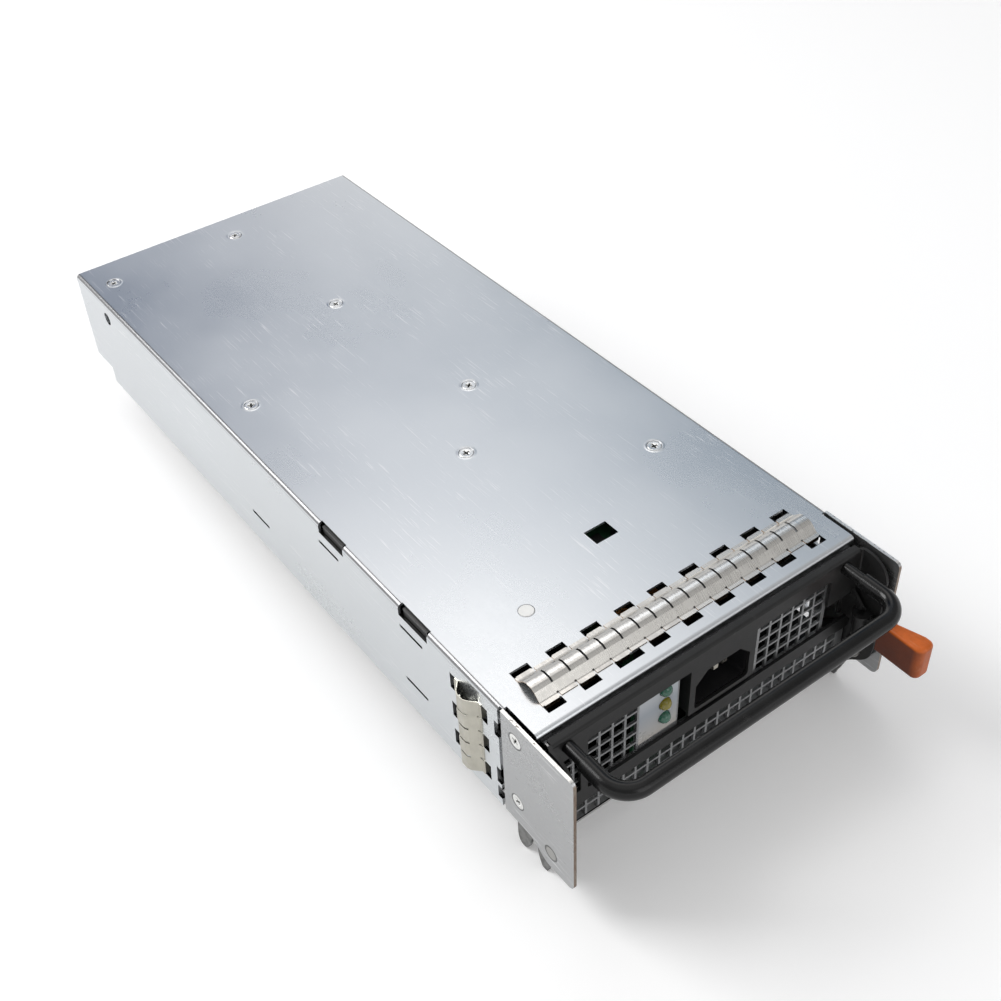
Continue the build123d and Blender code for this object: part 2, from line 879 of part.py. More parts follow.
def lamp(z):
    """A domed lamp: lens through the panel, flange behind it and body down to its board."""
    profile = [
        (0, lamp_back - panel_front),
        (lamp_flange, lamp_back - panel_front),
        (lamp_flange, sheet + slip),
        (lamp_radius, sheet + slip),
        (lamp_radius, lamp_radius - lamp_proud),
    ]
    origin = Vector(lamp_x, panel_front, z)
    with BuildSketch(Plane(origin=origin, x_dir=(1, 0, 0), z_dir=(0, 0, 1))) as half_section:
        with BuildLine():
            Polyline(*profile)
            RadiusArc(profile[-1], (0, -lamp_proud), lamp_radius)
            Line((0, -lamp_proud), profile[0])
        make_face()
    revolve(half_section.sketch, axis=Axis(origin, (0, 1, 0)))


with BuildPart() as green_lamps:
    for z in (lamp_heights[0], lamp_heights[2]):
        lamp(z)
save(green_lamps, "green_lamps")

with BuildPart() as yellow_lamp:
    lamp(lamp_heights[1])
save(yellow_lamp, "yellow_lamp")

# Small board that carries the lamps
with BuildPart() as lamp_board:
    with BuildSketch(front_plane(lamp_back)):
        with Locations((lamp_x, sheet * 2)):
            Rectangle(lamp_board_width, panel_height - 3.3 * sheet, align=(Align.CENTER, Align.MIN))
    extrude(amount=-lamp_board_thick)
save(lamp_board, "lamp_board")


# Circuit boards, their feet, screws and the insulating sheet
half_board = tray_in - board_side_gap
with BuildPart() as main_board:
    with BuildSketch(top_plane(board_z)):
        with Locations((0, board_front)):
            Rectangle(2 * half_board, board_rear - board_front, align=(Align.CENTER, Align.MIN))
        with Locations(*foot_centres):
            Circle(foot_bore, mode=Mode.SUBTRACT)
    extrude(amount=board_thick)
save(main_board, "main_board")

with BuildPart() as board_feet:
    with BuildSketch(top_plane(sheet)):
        with Locations(*foot_centres):
            RegularPolygon(foot_radius, 6)
            Circle(foot_bore, mode=Mode.SUBTRACT)
    extrude(amount=board_z - sheet)
save(board_feet, "board_feet")

with BuildPart() as board_screws:
    with BuildSketch(top_plane(board_top)):
        with Locations(*foot_centres):
            Circle(foot_screw_radius)
    extrude(amount=foot_screw_height)
    with BuildSketch(top_plane(board_top)):
        with Locations(*foot_centres):
            Circle(foot_bore - slip / 4)
    extrude(amount=sheet - board_z)
save(board_screws, "board_screws")

with BuildPart() as insulator_sheet:
    with BuildSketch(top_plane(sheet)):
        with Locations((0, board_front)):
            Rectangle(2 * half_board, board_rear - board_front, align=(Align.CENTER, Align.MIN))
        with Locations(*foot_centres):
            Circle(foot_radius + slip, mode=Mode.SUBTRACT)
    extrude(amount=insulator)
save(insulator_sheet, "insulator_sheet")

# Input board behind the inlet, on its own four posts
with BuildPart() as input_board:
    with BuildSketch(top_plane(input_board_z)):
        with Locations((inlet_x, flange_depth + sheet)):
            Rectangle(
                inlet_width,
                input_board_rear - flange_depth - sheet,
                align=(Align.CENTER, Align.MIN),
            )
    extrude(amount=board_thick)
save(input_board, "input_board")

with BuildPart() as input_posts:
    with BuildSketch(top_plane(sheet)):
        for side in (-1, 1):
            for y in (flange_depth + sheet + input_post_inset, input_board_rear - input_post_inset):
                with Locations((inlet_x + side * (inlet_width / 2 - input_post_inset), y)):
                    Circle(foot_radius)
    extrude(amount=input_board_z - sheet)
save(input_posts, "input_posts")


def fan_frame(x):
    """Square fan housing with a round duct, corner holes and a motor seat on four struts."""
    centre = (x, sheet + fan_size / 2)
    with BuildSketch(front_plane(fan_y)) as section:
        with Locations(centre):
            Rectangle(fan_size, fan_size)
        fillet(section.vertices(), fan_corner_inset / 2)
        with Locations(centre):
            Circle(fan_bore, mode=Mode.SUBTRACT)
            with GridLocations(
                fan_size - 2 * fan_corner_inset, fan_size - 2 * fan_corner_inset, 2, 2
            ):
                Circle(fan_corner_hole, mode=Mode.SUBTRACT)
    extrude(section.sketch, amount=-fan_depth)
    with BuildSketch(front_plane(fan_y + fan_depth)) as motor_seat:
        with Locations(centre):
            Circle(fan_motor)
            for turn in (45, 135):
                Rectangle(2 * fan_bore + fan_strut, fan_strut, rotation=turn)
            Circle(fan_shaft + slip / 4, mode=Mode.SUBTRACT)
    extrude(motor_seat.sketch, amount=fan_back)


def fan_rotor(x):
    """Fan rotor: rounded hub, shaft into the motor seat and twisted blades."""
    z = sheet + fan_size / 2
    hub_back = fan_y + fan_depth - fan_back - seat
    hub_front = hub_back - fan_hub_depth
    turned(
        (
            (0, 0),
            (fan_hub - hub_round, 0),
            (fan_hub - hub_round / 3, -hub_round / 3),
            (fan_hub, -hub_round),
            (fan_hub, -fan_hub_depth),
            (fan_shaft, -fan_hub_depth),
            (fan_shaft, -fan_hub_depth - fan_back),
            (0, -fan_hub_depth - fan_back),
        ),
        Plane(origin=(x, hub_front, z), x_dir=(1, 0, 0), z_dir=(0, -1, 0)),
    )
    blade_middle = (hub_front + hub_back) / 2
    pitch = radians(fan_blade_twist)
    for index in range(fan_blades):
        turn = radians(360 / fan_blades * index)
        radial = Vector(cos(turn), 0, sin(turn))
        around = Vector(-sin(turn), 0, cos(turn))
        chord = around * cos(pitch) + Vector(0, 1, 0) * sin(pitch)
        root = Vector(x, blade_middle, z) + radial * (fan_hub - fan_blade)
        with BuildSketch(Plane(origin=root, x_dir=chord, z_dir=radial)) as blade:
            SlotOverall(fan_blade_chord, fan_blade)
        extrude(blade.sketch, amount=fan_tip - fan_hub)


for x, fan_name in zip(fan_offsets, ("left_fan", "right_fan")):
    with BuildPart() as frame_part:
        fan_frame(x)
    save(frame_part, f"{fan_name}_frame")
    with BuildPart() as rotor_part:
        fan_rotor(x)
    save(rotor_part, f"{fan_name}_rotor")

# Handle bracket: web with its window, side arms with forked hooks, ears for the latch pin
ear_low = latch_low - ear_gap - ear_sheet
ear_high = latch_high + ear_gap
ear_half = latch_eye + sheet


def arm_outline(plane):
    """Side outline of a handle arm with its two hook prongs, Y across and Z up."""
    throat = throat_width / 2
    throat_line = throat_top - throat
    with BuildSketch(plane) as arm:
        with BuildLine():
            Polyline(
                (web_back, arm_top),
                (arm_front, arm_top),
                (arm_front, pivot_z + arm_foot),
            )
            Spline(
                (arm_front, pivot_z + arm_foot),
                *[(pivot_y + along, pivot_z + up) for along, up in shin_curve],
                *[(prong_middle + along, front_prong_low + up) for along, up in front_toe_curve],
                (prong_middle, front_prong_low),
                tangents=((0.1, -1), (1, 0)),
            )
            Spline(
                (prong_middle, front_prong_low),
                (prong_middle + toe_curve_back[0], front_prong_low + toe_curve_back[1]),
                (throat_y - throat, throat_line - throat_straight),
                (throat_y - throat, throat_line),
                tangents=((1, 0), (0, 1)),
            )
            ThreePointArc(
                (throat_y - throat, throat_line),
                (throat_y, throat_top),
                (throat_y + throat, throat_line),
            )
            Spline(
                (throat_y + throat, throat_line),
                (rear_prong_middle - rear_toe_curve[0], rear_prong_low + rear_toe_curve[1]),
                (rear_prong_middle, rear_prong_low),
                tangents=((0.2, -1), (1, 0)),
            )
            Spline(
                (rear_prong_middle, rear_prong_low),
                (heel_y - heel_curve[0], rear_prong_low + heel_curve[1]),
                (heel_y, rear_prong_low + heel_rise),
                tangents=((1, 0), (0, 1)),
            )
            Polyline(
                (heel_y, rear_prong_low + heel_rise),
                (heel_y, pivot_z - 2 * sheet),
                (web_back + 3 * sheet, web_low - 2 * sheet),
                (web_back, web_low + sheet),
                (web_back, arm_top),
            )
        make_face()
        top_front = arm.vertices().filter_by(
            lambda v: abs(v.X - arm_front) < 0.01 and abs(v.Y - arm_top) < 0.01
        )
        fillet(top_front, arm_corner)
    return arm.sketch


with BuildPart() as handle_bracket:
    # Web and arms bent from one strip, seen from above
    with BuildSketch(top_plane(web_low)):
        with BuildLine():
            FilletPolyline(
                (-arm_out, web_front - handle_bend - sheet),
                (-arm_out, web_back),
                (arm_out, web_back),
                (arm_out, web_front - handle_bend - sheet),
                radius=handle_bend,
            )
            offset(amount=handle_sheet, side=Side.RIGHT)
        make_face()
    extrude(amount=arm_top - web_low)
    for side in (-1, 1):
        extrude(arm_outline(side_plane(side * arm_out)), amount=-side * handle_sheet)
        # Round the arm's rear edge into the web's bend
        with BuildSketch(top_plane(web_low + sheet)):
            with Locations((side * arm_out, web_back)):
                Rectangle(
                    handle_bend,
                    handle_bend,
                    align=(Align.MAX if side > 0 else Align.MIN, Align.MAX),
                )
            with Locations((side * (arm_out - handle_bend), web_back - handle_bend)):
                Circle(handle_bend, mode=Mode.SUBTRACT)
        extrude(amount=arm_top, mode=Mode.SUBTRACT)
    # Flange turned back along the top of the web
    with BuildSketch(side_plane(handle_bend - arm_out)):
        with BuildLine():
            Polyline(
                (web_front, arm_top),
                (web_flange_rear, arm_top),
                (web_flange_rear, arm_top - handle_sheet),
                (web_front, arm_top - handle_sheet),
                close=True,
            )
        make_face()
    extrude(amount=2 * (arm_out - handle_bend))
    # Rounded top edge of the web
    with BuildSketch(side_plane(handle_bend - arm_out)):
        with Locations((web_front, arm_top)):
            Rectangle(handle_sheet, handle_sheet, align=(Align.MIN, Align.MAX))
        with Locations((web_front + handle_sheet, arm_top - handle_sheet)):
            Circle(handle_sheet, mode=Mode.SUBTRACT)
    extrude(amount=2 * (arm_out - handle_bend), mode=Mode.SUBTRACT)
    # The window that leaves mesh, lamps and inlet free, and the port for the latch
    with BuildSketch(front_plane(web_front)) as openings:
        with Locations((0, window_low)):
            Rectangle(2 * window_half, window_high - window_low, align=(Align.CENTER, Align.MIN))
        fillet(openings.vertices(), sheet)
        with Locations((inlet_x, tongue_low)):
            Rectangle(
                inlet_width + 2 * tongue_side_gap,
                window_high - tongue_low,
                align=(Align.CENTER, Align.MIN),
                mode=Mode.SUBTRACT,
            )
        add(inlet_outline(slip))
        with Locations((side_port_x[0], side_port_z[0])):
            Rectangle(
                side_port_x[1] - side_port_x[0],
                side_port_z[1] - side_port_z[0],
                align=(Align.MIN, Align.MIN),
            )
    extrude(amount=-2 * handle_sheet, mode=Mode.SUBTRACT)
    # The port for the latch runs out through the web's bend
    with BuildSketch(front_plane(web_front - handle_bend)):
        with Locations((window_half - handle_bend, window_low)):
            Rectangle(
                arm_in - window_half + handle_bend,
                latch_port_high - window_low,
                align=(Align.MIN, Align.MIN),
            )
    extrude(amount=-(handle_bend + 2 * handle_sheet), mode=Mode.SUBTRACT)
    # Ears for the latch pin
    for z in (ear_low, ear_high):
        with BuildSketch(top_plane(z)):
            with Locations((latch_x, latch_y)):
                Circle(ear_half)
                Rectangle(
                    arm_in - latch_x + handle_sheet / 2,
                    2 * ear_half,
                    align=(Align.MIN, Align.CENTER),
                )
                Circle(latch_pin_radius, mode=Mode.SUBTRACT)
        extrude(amount=ear_sheet)
    with BuildSketch(side_plane(-half_width)):
        with Locations((pivot_y, pivot_z)):
            Circle(pivot_radius + pivot_clearance)
    extrude(amount=case_width, mode=Mode.SUBTRACT)
save(handle_bracket, "handle_bracket")


def bail_path():
    """Centre line of the bail, from its left end round the front to its right end."""
    with BuildLine() as path:
        FilletPolyline(
            (-bail_half, web_front, bail_z),
            (-bail_half, bail_reach, bail_z),
            (bail_right, bail_reach, bail_z),
            (bail_right, web_front, bail_z),
            radius=bail_bend,
        )
    return path.wire()


def grip_path():
    """Centre line of the sleeve on the bail."""
    with BuildLine() as path:
        FilletPolyline(
            (-bail_half, bail_grip_start, bail_z),
            (-bail_half, bail_reach, bail_z),
            (bail_right, bail_reach, bail_z),
            (bail_right, bail_grip_start, bail_z),
            radius=bail_bend,
        )
    return path.wire()


# Bail: steel rod whose ends meet the web
rod_route = bail_path()
with BuildPart() as bail_rod_part:
    with BuildSketch(Plane(origin=(-bail_half, web_front, bail_z), z_dir=(0, -1, 0))):
        Circle(bail_rod)
    sweep(path=rod_route)
save(bail_rod_part, "bail_rod")

# Sleeve round the bail's front
grip_route = grip_path()
with BuildPart() as bail_grip:
    with BuildSketch(Plane(origin=(-bail_half, bail_grip_start, bail_z), z_dir=(0, -1, 0))):
        Circle(bail_grip_radius)
        Circle(bail_rod + bail_grip_slip, mode=Mode.SUBTRACT)
    sweep(path=grip_route)
save(bail_grip, "bail_grip")

# Latch lever: plate on edge with an eye on the pin and a tooth that reaches into the panel's port
tooth_front = panel_back + tooth_clearance
tooth_rear = tooth_front + 2 * latch_sheet
eye_low = latch_low + spring_radius * 2
with BuildPart() as latch_lever:
    with BuildSketch(side_plane(plate_left)):
        with BuildLine():
            Polyline(
                (tooth_rear, latch_plate_low),
                (tooth_rear, latch_plate_high),
                (web_front - tooth_clearance, latch_plate_high),
                (web_front - tooth_clearance, latch_peak),
                (latch_beak_y, latch_beak_z),
                (latch_beak_y, ear_high + ear_sheet + ear_gap),
                (latch_y + ear_half + ear_slot_gap, ear_high + ear_sheet + ear_gap),
                (latch_y + ear_half + ear_slot_gap, latch_high),
                (latch_y - ear_half - ear_slot_gap, latch_high),
                (latch_y - ear_half - ear_slot_gap, latch_tongue_high),
                (latch_tongue_end, latch_tongue_high),
                (latch_tongue_end, latch_tongue_low),
                (latch_y - latch_eye - slip, latch_tongue_low),
                (latch_y - latch_eye - slip, eye_low),
                (latch_y + latch_eye + slip, eye_low),
                (latch_y + latch_eye + slip, latch_plate_low),
                close=True,
            )
        make_face()
    extrude(amount=latch_sheet)
    with BuildSketch(top_plane(eye_low)):
        with Locations((latch_x, latch_y)):
            Circle(latch_eye)
    extrude(amount=latch_high - eye_low)
    with BuildSketch(top_plane(latch_plate_low)):
        with BuildLine():
            Polyline(
                (plate_left + latch_sheet / 2, tooth_front),
                (tooth_x, tooth_front),
                (tooth_x, tooth_front + latch_sheet / 2),
                (plate_left, tooth_rear),
                (plate_left + latch_sheet / 2, tooth_rear),
                close=True,
            )
        make_face()
    extrude(amount=latch_plate_high - latch_plate_low)
    with BuildSketch(top_plane(latch_low)):
        with Locations((latch_x, latch_y)):
            Circle(latch_pin_radius + latch_pin_slip)
    extrude(amount=latch_peak - latch_low, mode=Mode.SUBTRACT)
save(latch_lever, "latch_lever")

# Pin through the ears and the lever's eye, with its head below the lower ear
with BuildPart() as latch_pin:
    with BuildSketch(top_plane(ear_low)):
        with Locations((latch_x, latch_y)):
            Circle(latch_pin_radius)
    extrude(amount=ear_high + ear_sheet - ear_low)
    with BuildSketch(top_plane(ear_low)):
        with Locations((latch_x, latch_y)):
            Circle(latch_eye)
    extrude(amount=-sheet)
    chamfer(latch_pin.edges().group_by(Axis.Z)[0], sheet / 2)
save(latch_pin, "latch_pin")

# Return spring: short coil on the pin below the lever's eye
spring_low = latch_low + spring_wire
spring_pitch = (2 * spring_radius - 3 * spring_wire) / spring_turns
coil = Helix(
    pitch=spring_pitch,
    height=spring_pitch * spring_turns,
    radius=spring_radius,
    center=(latch_x, latch_y, spring_low),
)
with BuildPart() as latch_spring:
    with BuildSketch(Plane(origin=coil @ 0, z_dir=coil % 0)):
        RegularPolygon(spring_wire, 6)
    sweep(path=coil, is_frenet=True)
save(latch_spring, "latch_spring")

# Moulded thumb grip on the lever's tongue
with BuildPart() as latch_grip:
    with BuildSketch(top_plane(grip_low)) as grip_outline:
        with BuildLine():
            Polyline(
                (grip_left + grip_back_width, grip_back),
                (grip_left, grip_back),
                (grip_left, grip_front),
                (grip_left + grip_front_width, grip_front),
                (grip_left + grip_front_width, grip_front + grip_flare),
                (grip_left + grip_back_width, grip_back - grip_flare),
                close=True,
            )
        make_face()
        fillet(grip_outline.vertices().group_by(Axis.Y)[0], grip_round)
    extrude(amount=grip_high - grip_low)
    fillet(latch_grip.edges().group_by(Axis.Z)[-1], grip_edge)
    fillet(latch_grip.edges().group_by(Axis.Z)[0], grip_edge)
    with BuildSketch(front_plane(grip_back)):
        with Locations((plate_left + latch_sheet / 2, (latch_tongue_low + latch_tongue_high) / 2)):
            Rectangle(
                latch_sheet + slip / 2,
                latch_tongue_high - latch_tongue_low + slip / 2,
            )
    extrude(amount=grip_back - latch_tongue_end + slip, mode=Mode.SUBTRACT)
save(latch_grip, "latch_grip")

# Rear connector: open-backed shell and a row of flat contacts
connector_back = case_length + connector_proud
with BuildPart() as connector_shell:
    with BuildSketch(front_plane(connector_back - connector_depth)):
        with Locations((connector_x, connector_low)):
            Rectangle(connector_width, connector_height, align=(Align.CENTER, Align.MIN))
    extrude(amount=-connector_depth)
    with BuildSketch(front_plane(connector_back)):
        with Locations((connector_x, connector_low + connector_height / 2)):
            Rectangle(
                connector_width - 2 * connector_wall,
                connector_height - 2 * connector_wall,
            )
    extrude(amount=connector_depth - connector_floor, mode=Mode.SUBTRACT)
    with BuildSketch(front_plane(connector_back)):
        with Locations((connector_x, connector_low + connector_height / 2)):
            with GridLocations(contact_pitch, 0, contact_count, 1):
                Rectangle(contact_thick, contact_tall)
    extrude(amount=connector_depth, mode=Mode.SUBTRACT)
save(connector_shell, "connector_shell")

with BuildPart() as connector_contacts:
    with BuildSketch(front_plane(connector_back - connector_depth)):
        with Locations((connector_x, connector_low + connector_height / 2)):
            with GridLocations(contact_pitch, 0, contact_count, 1):
                Rectangle(contact_thick, contact_tall)
    extrude(amount=-connector_depth + connector_proud)
save(connector_contacts, "connector_contacts")

# Inner power parts that stand on the boards
capacitor_radius = 15.0
capacitor_height = 38.0
capacitor_places = ((-47.0, 97.0), (-47.0, 130.0), (-14.0, 97.0))
small_capacitor_radius = 5.0
small_capacitor_height = 24.0
small_capacitor_pitch = 13.0
small_capacitor_end = 16.0
small_capacitor_edge = 9.3
small_capacitor_spacing = 12.0
small_capacitor_x = small_capacitor_edge - tray_in
small_capacitor_places = tuple(
    (x, board_rear - small_capacitor_end - small_capacitor_pitch * row)
    for row in range(4)
    for x in (small_capacitor_x, small_capacitor_x + small_capacitor_spacing)
)
choke_from_rear = 40.0
toroid_places = (
    (28.0, 108.0, 17.0, 9.0, 20.0),
    (8.0, board_rear - choke_from_rear, 16.0, 8.0, 20.0),
)
transformer_centre = (8.0, 200.0)
core_size = (42.0, 28.0, 34.0)
core_leg = 9.0
core_air = 0.4
winding_size = (23.0, 40.0, 22.0)
sink_front = 172.0
sink_rear_gap = 30.0
sink_length = board_rear - sink_rear_gap - sink_front
sink_base = 3.0
sink_fins = 6
sink_fin = 1.4
sink_reach = 13.0
sink_height = 36.0
sink_faces = (-30.0, 46.0)
transistor = (15.8, 4.8, 20.8)
transistor_count = 3
filter_radius = 10.5
filter_bore = 5.0
filter_height = 14.0
filter_y = 40.0
x_capacitor = (22.0, 12.0, 19.0)
x_capacitor_y = 60.0

with BuildPart() as bulk_capacitors:
    with BuildSketch(top_plane(board_top)):
        with Locations(*capacitor_places):
            Circle(capacitor_radius)
    extrude(amount=capacitor_height)
    chamfer(bulk_capacitors.edges().group_by(Axis.Z)[-1], sheet)
save(bulk_capacitors, "bulk_capacitors")

with BuildPart() as output_capacitors:
    with BuildSketch(top_plane(board_top)):
        with Locations(*small_capacitor_places):
            Circle(small_capacitor_radius)
    extrude(amount=small_capacitor_height)
    chamfer(output_capacitors.edges().group_by(Axis.Z)[-1], sheet / 2)
save(output_capacitors, "output_capacitors")

for (x, y, outer, inner, height), toroid_name in zip(toroid_places, ("boost_choke", "output_choke")):
    with BuildPart() as toroid:
        with BuildSketch(top_plane(board_top)):
            with Locations((x, y)):
                Circle(outer)
                Circle(inner, mode=Mode.SUBTRACT)
        extrude(amount=height)
        chamfer(toroid.edges().filter_by(GeomType.CIRCLE), 2 * sheet)
    save(toroid, toroid_name)

with BuildPart() as transformer_core:
    core_z = board_top + core_size[2] / 2
    with BuildSketch(front_plane(transformer_centre[1] - core_size[1] / 2)):
        with Locations((transformer_centre[0], core_z)):
            Rectangle(core_size[0], core_size[2])
            for side in (-1, 1):
                with Locations((side * core_size[0] / 4, 0)):
                    Rectangle(
                        core_size[0] / 2 - core_leg,
                        core_size[2] - 1.3 * core_leg,
                        mode=Mode.SUBTRACT,
                    )
    extrude(amount=-core_size[1])
save(transformer_core, "transformer_core")

with BuildPart() as transformer_winding:
    leg_half = core_leg / 2
    with BuildSketch(top_plane(core_z - winding_size[2] / 2 + core_air)) as ring:
        with Locations(transformer_centre):
            Rectangle(
                core_size[0] - 2 * core_leg + 2 * leg_half - 2 * core_air,
                core_size[1] + core_size[0] / 2 - core_leg,
            )
        fillet(ring.vertices(), leg_half)
        with Locations(transformer_centre):
            Rectangle(
                core_leg + 2 * core_air,
                core_size[1] + 2 * core_air,
                mode=Mode.SUBTRACT,
            )
    extrude(amount=winding_size[2] - 2 * core_air)
save(transformer_winding, "transformer_winding")

for face_x, direction, sink_name in (
    (sink_faces[0], -1, "left_heat_sink"),
    (sink_faces[1], 1, "right_heat_sink"),
):
    with BuildPart() as heat_sink:
        with BuildSketch(front_plane(sink_front)):
            with Locations((face_x, board_top)):
                Rectangle(
                    sink_base,
                    sink_height,
                    align=(Align.MIN if direction > 0 else Align.MAX, Align.MIN),
                )
            for index in range(sink_fins):
                rise = board_top + sink_height - sink_fin - index * (sink_height - sink_fin) / sink_fins
                with Locations((face_x, rise)):
                    Rectangle(
                        sink_reach,
                        sink_fin,
                        align=(Align.MIN if direction > 0 else Align.MAX, Align.MIN),
                    )
        extrude(amount=-sink_length)
    save(heat_sink, sink_name)

with BuildPart() as power_transistors:
    for face_x, direction in ((sink_faces[0], -1), (sink_faces[1], 1)):
        with BuildSketch(top_plane(board_top + transistor[1])):
            with Locations((face_x, sink_front + sink_length / 2)):
                with GridLocations(0, 2 * transistor[0], 1, transistor_count):
                    Rectangle(
                        transistor[1],
                        transistor[0],
                        align=(Align.MAX if direction > 0 else Align.MIN, Align.CENTER),
                    )
        extrude(amount=transistor[2])
save(power_transistors, "power_transistors")

# Input filter parts behind the inlet
with BuildPart() as filter_choke:
    with BuildSketch(top_plane(input_board_top)):
        with Locations((inlet_x, filter_y)):
            Circle(filter_radius)
            Circle(filter_bore, mode=Mode.SUBTRACT)
            Rectangle(sheet, 2 * filter_bore + sheet)
    extrude(amount=filter_height)
    top_edges = filter_choke.edges().group_by(Axis.Z)[-1]
    chamfer(top_edges.filter_by(GeomType.CIRCLE).sort_by(SortBy.LENGTH)[-1], sheet)
save(filter_choke, "filter_choke")

with BuildPart() as filter_capacitor:
    with BuildSketch(top_plane(input_board_top)):
        with Locations((inlet_x, x_capacitor_y)):
            Rectangle(x_capacitor[0], x_capacitor[1])
    extrude(amount=x_capacitor[2])
    fillet(filter_capacitor.edges().filter_by(Axis.Z), sheet)
save(filter_capacitor, "filter_capacitor")

# Small control board on posts below the cover's window
control_board_z = 42.0
control_board_half = 14.2
control_board_front = 49.5
control_post_radius = 1.6
control_post_inset = 1.7
chip_size = (5.2, 7.6, 1.4)
control_posts_xy = [
    (inlet_x + side * (control_board_half - control_post_inset), y)
    for side in (-1, 1)
    for y in (control_board_front + control_post_inset, input_board_rear - control_post_inset)
]
with BuildPart() as control_board:
    with BuildSketch(top_plane(control_board_z)):
        with Locations((inlet_x, control_board_front)):
            Rectangle(
                2 * control_board_half,
                input_board_rear - control_board_front,
                align=(Align.CENTER, Align.MIN),
            )
    extrude(amount=board_thick)
save(control_board, "control_board")

with BuildPart() as control_posts:
    with BuildSketch(top_plane(input_board_top)):
        with Locations(*control_posts_xy):
            RegularPolygon(control_post_radius, 6)
    extrude(amount=control_board_z - input_board_top)
save(control_posts, "control_posts")

with BuildPart() as control_chips:
    with BuildSketch(top_plane(control_board_z + board_thick)):
        with Locations((window_centre[0] + sheet, window_centre[1] + 2 * sheet)):
            Rectangle(chip_size[0], chip_size[1])
        with Locations((window_centre[0] + 2 * chip_size[0], window_centre[1])):
            Rectangle(chip_size[0], chip_size[1])
    extrude(amount=chip_size[2])
save(control_chips, "control_chips")
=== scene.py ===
import bpy
import numpy as np
from mathutils import Matrix, Vector


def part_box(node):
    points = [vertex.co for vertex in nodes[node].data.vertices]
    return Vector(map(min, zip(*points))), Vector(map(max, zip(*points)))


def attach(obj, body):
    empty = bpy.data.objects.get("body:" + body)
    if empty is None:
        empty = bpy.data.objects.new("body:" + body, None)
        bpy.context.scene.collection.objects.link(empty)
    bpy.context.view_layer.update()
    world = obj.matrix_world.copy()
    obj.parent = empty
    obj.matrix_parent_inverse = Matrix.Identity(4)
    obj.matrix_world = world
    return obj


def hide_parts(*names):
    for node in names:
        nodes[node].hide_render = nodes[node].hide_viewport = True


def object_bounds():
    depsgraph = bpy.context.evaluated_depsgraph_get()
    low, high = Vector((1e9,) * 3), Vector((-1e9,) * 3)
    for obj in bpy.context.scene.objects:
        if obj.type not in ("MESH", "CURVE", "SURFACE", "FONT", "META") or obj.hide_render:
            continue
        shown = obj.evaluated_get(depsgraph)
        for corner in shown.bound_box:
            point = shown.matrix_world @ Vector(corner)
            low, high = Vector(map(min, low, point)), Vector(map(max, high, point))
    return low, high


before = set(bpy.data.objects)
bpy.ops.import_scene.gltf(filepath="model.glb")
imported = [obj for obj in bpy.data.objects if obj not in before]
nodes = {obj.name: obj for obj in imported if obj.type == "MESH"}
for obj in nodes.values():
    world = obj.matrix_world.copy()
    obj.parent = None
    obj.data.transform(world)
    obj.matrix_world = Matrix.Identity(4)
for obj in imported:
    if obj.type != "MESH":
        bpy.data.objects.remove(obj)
cad_low, cad_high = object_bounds()
MM = 0.001


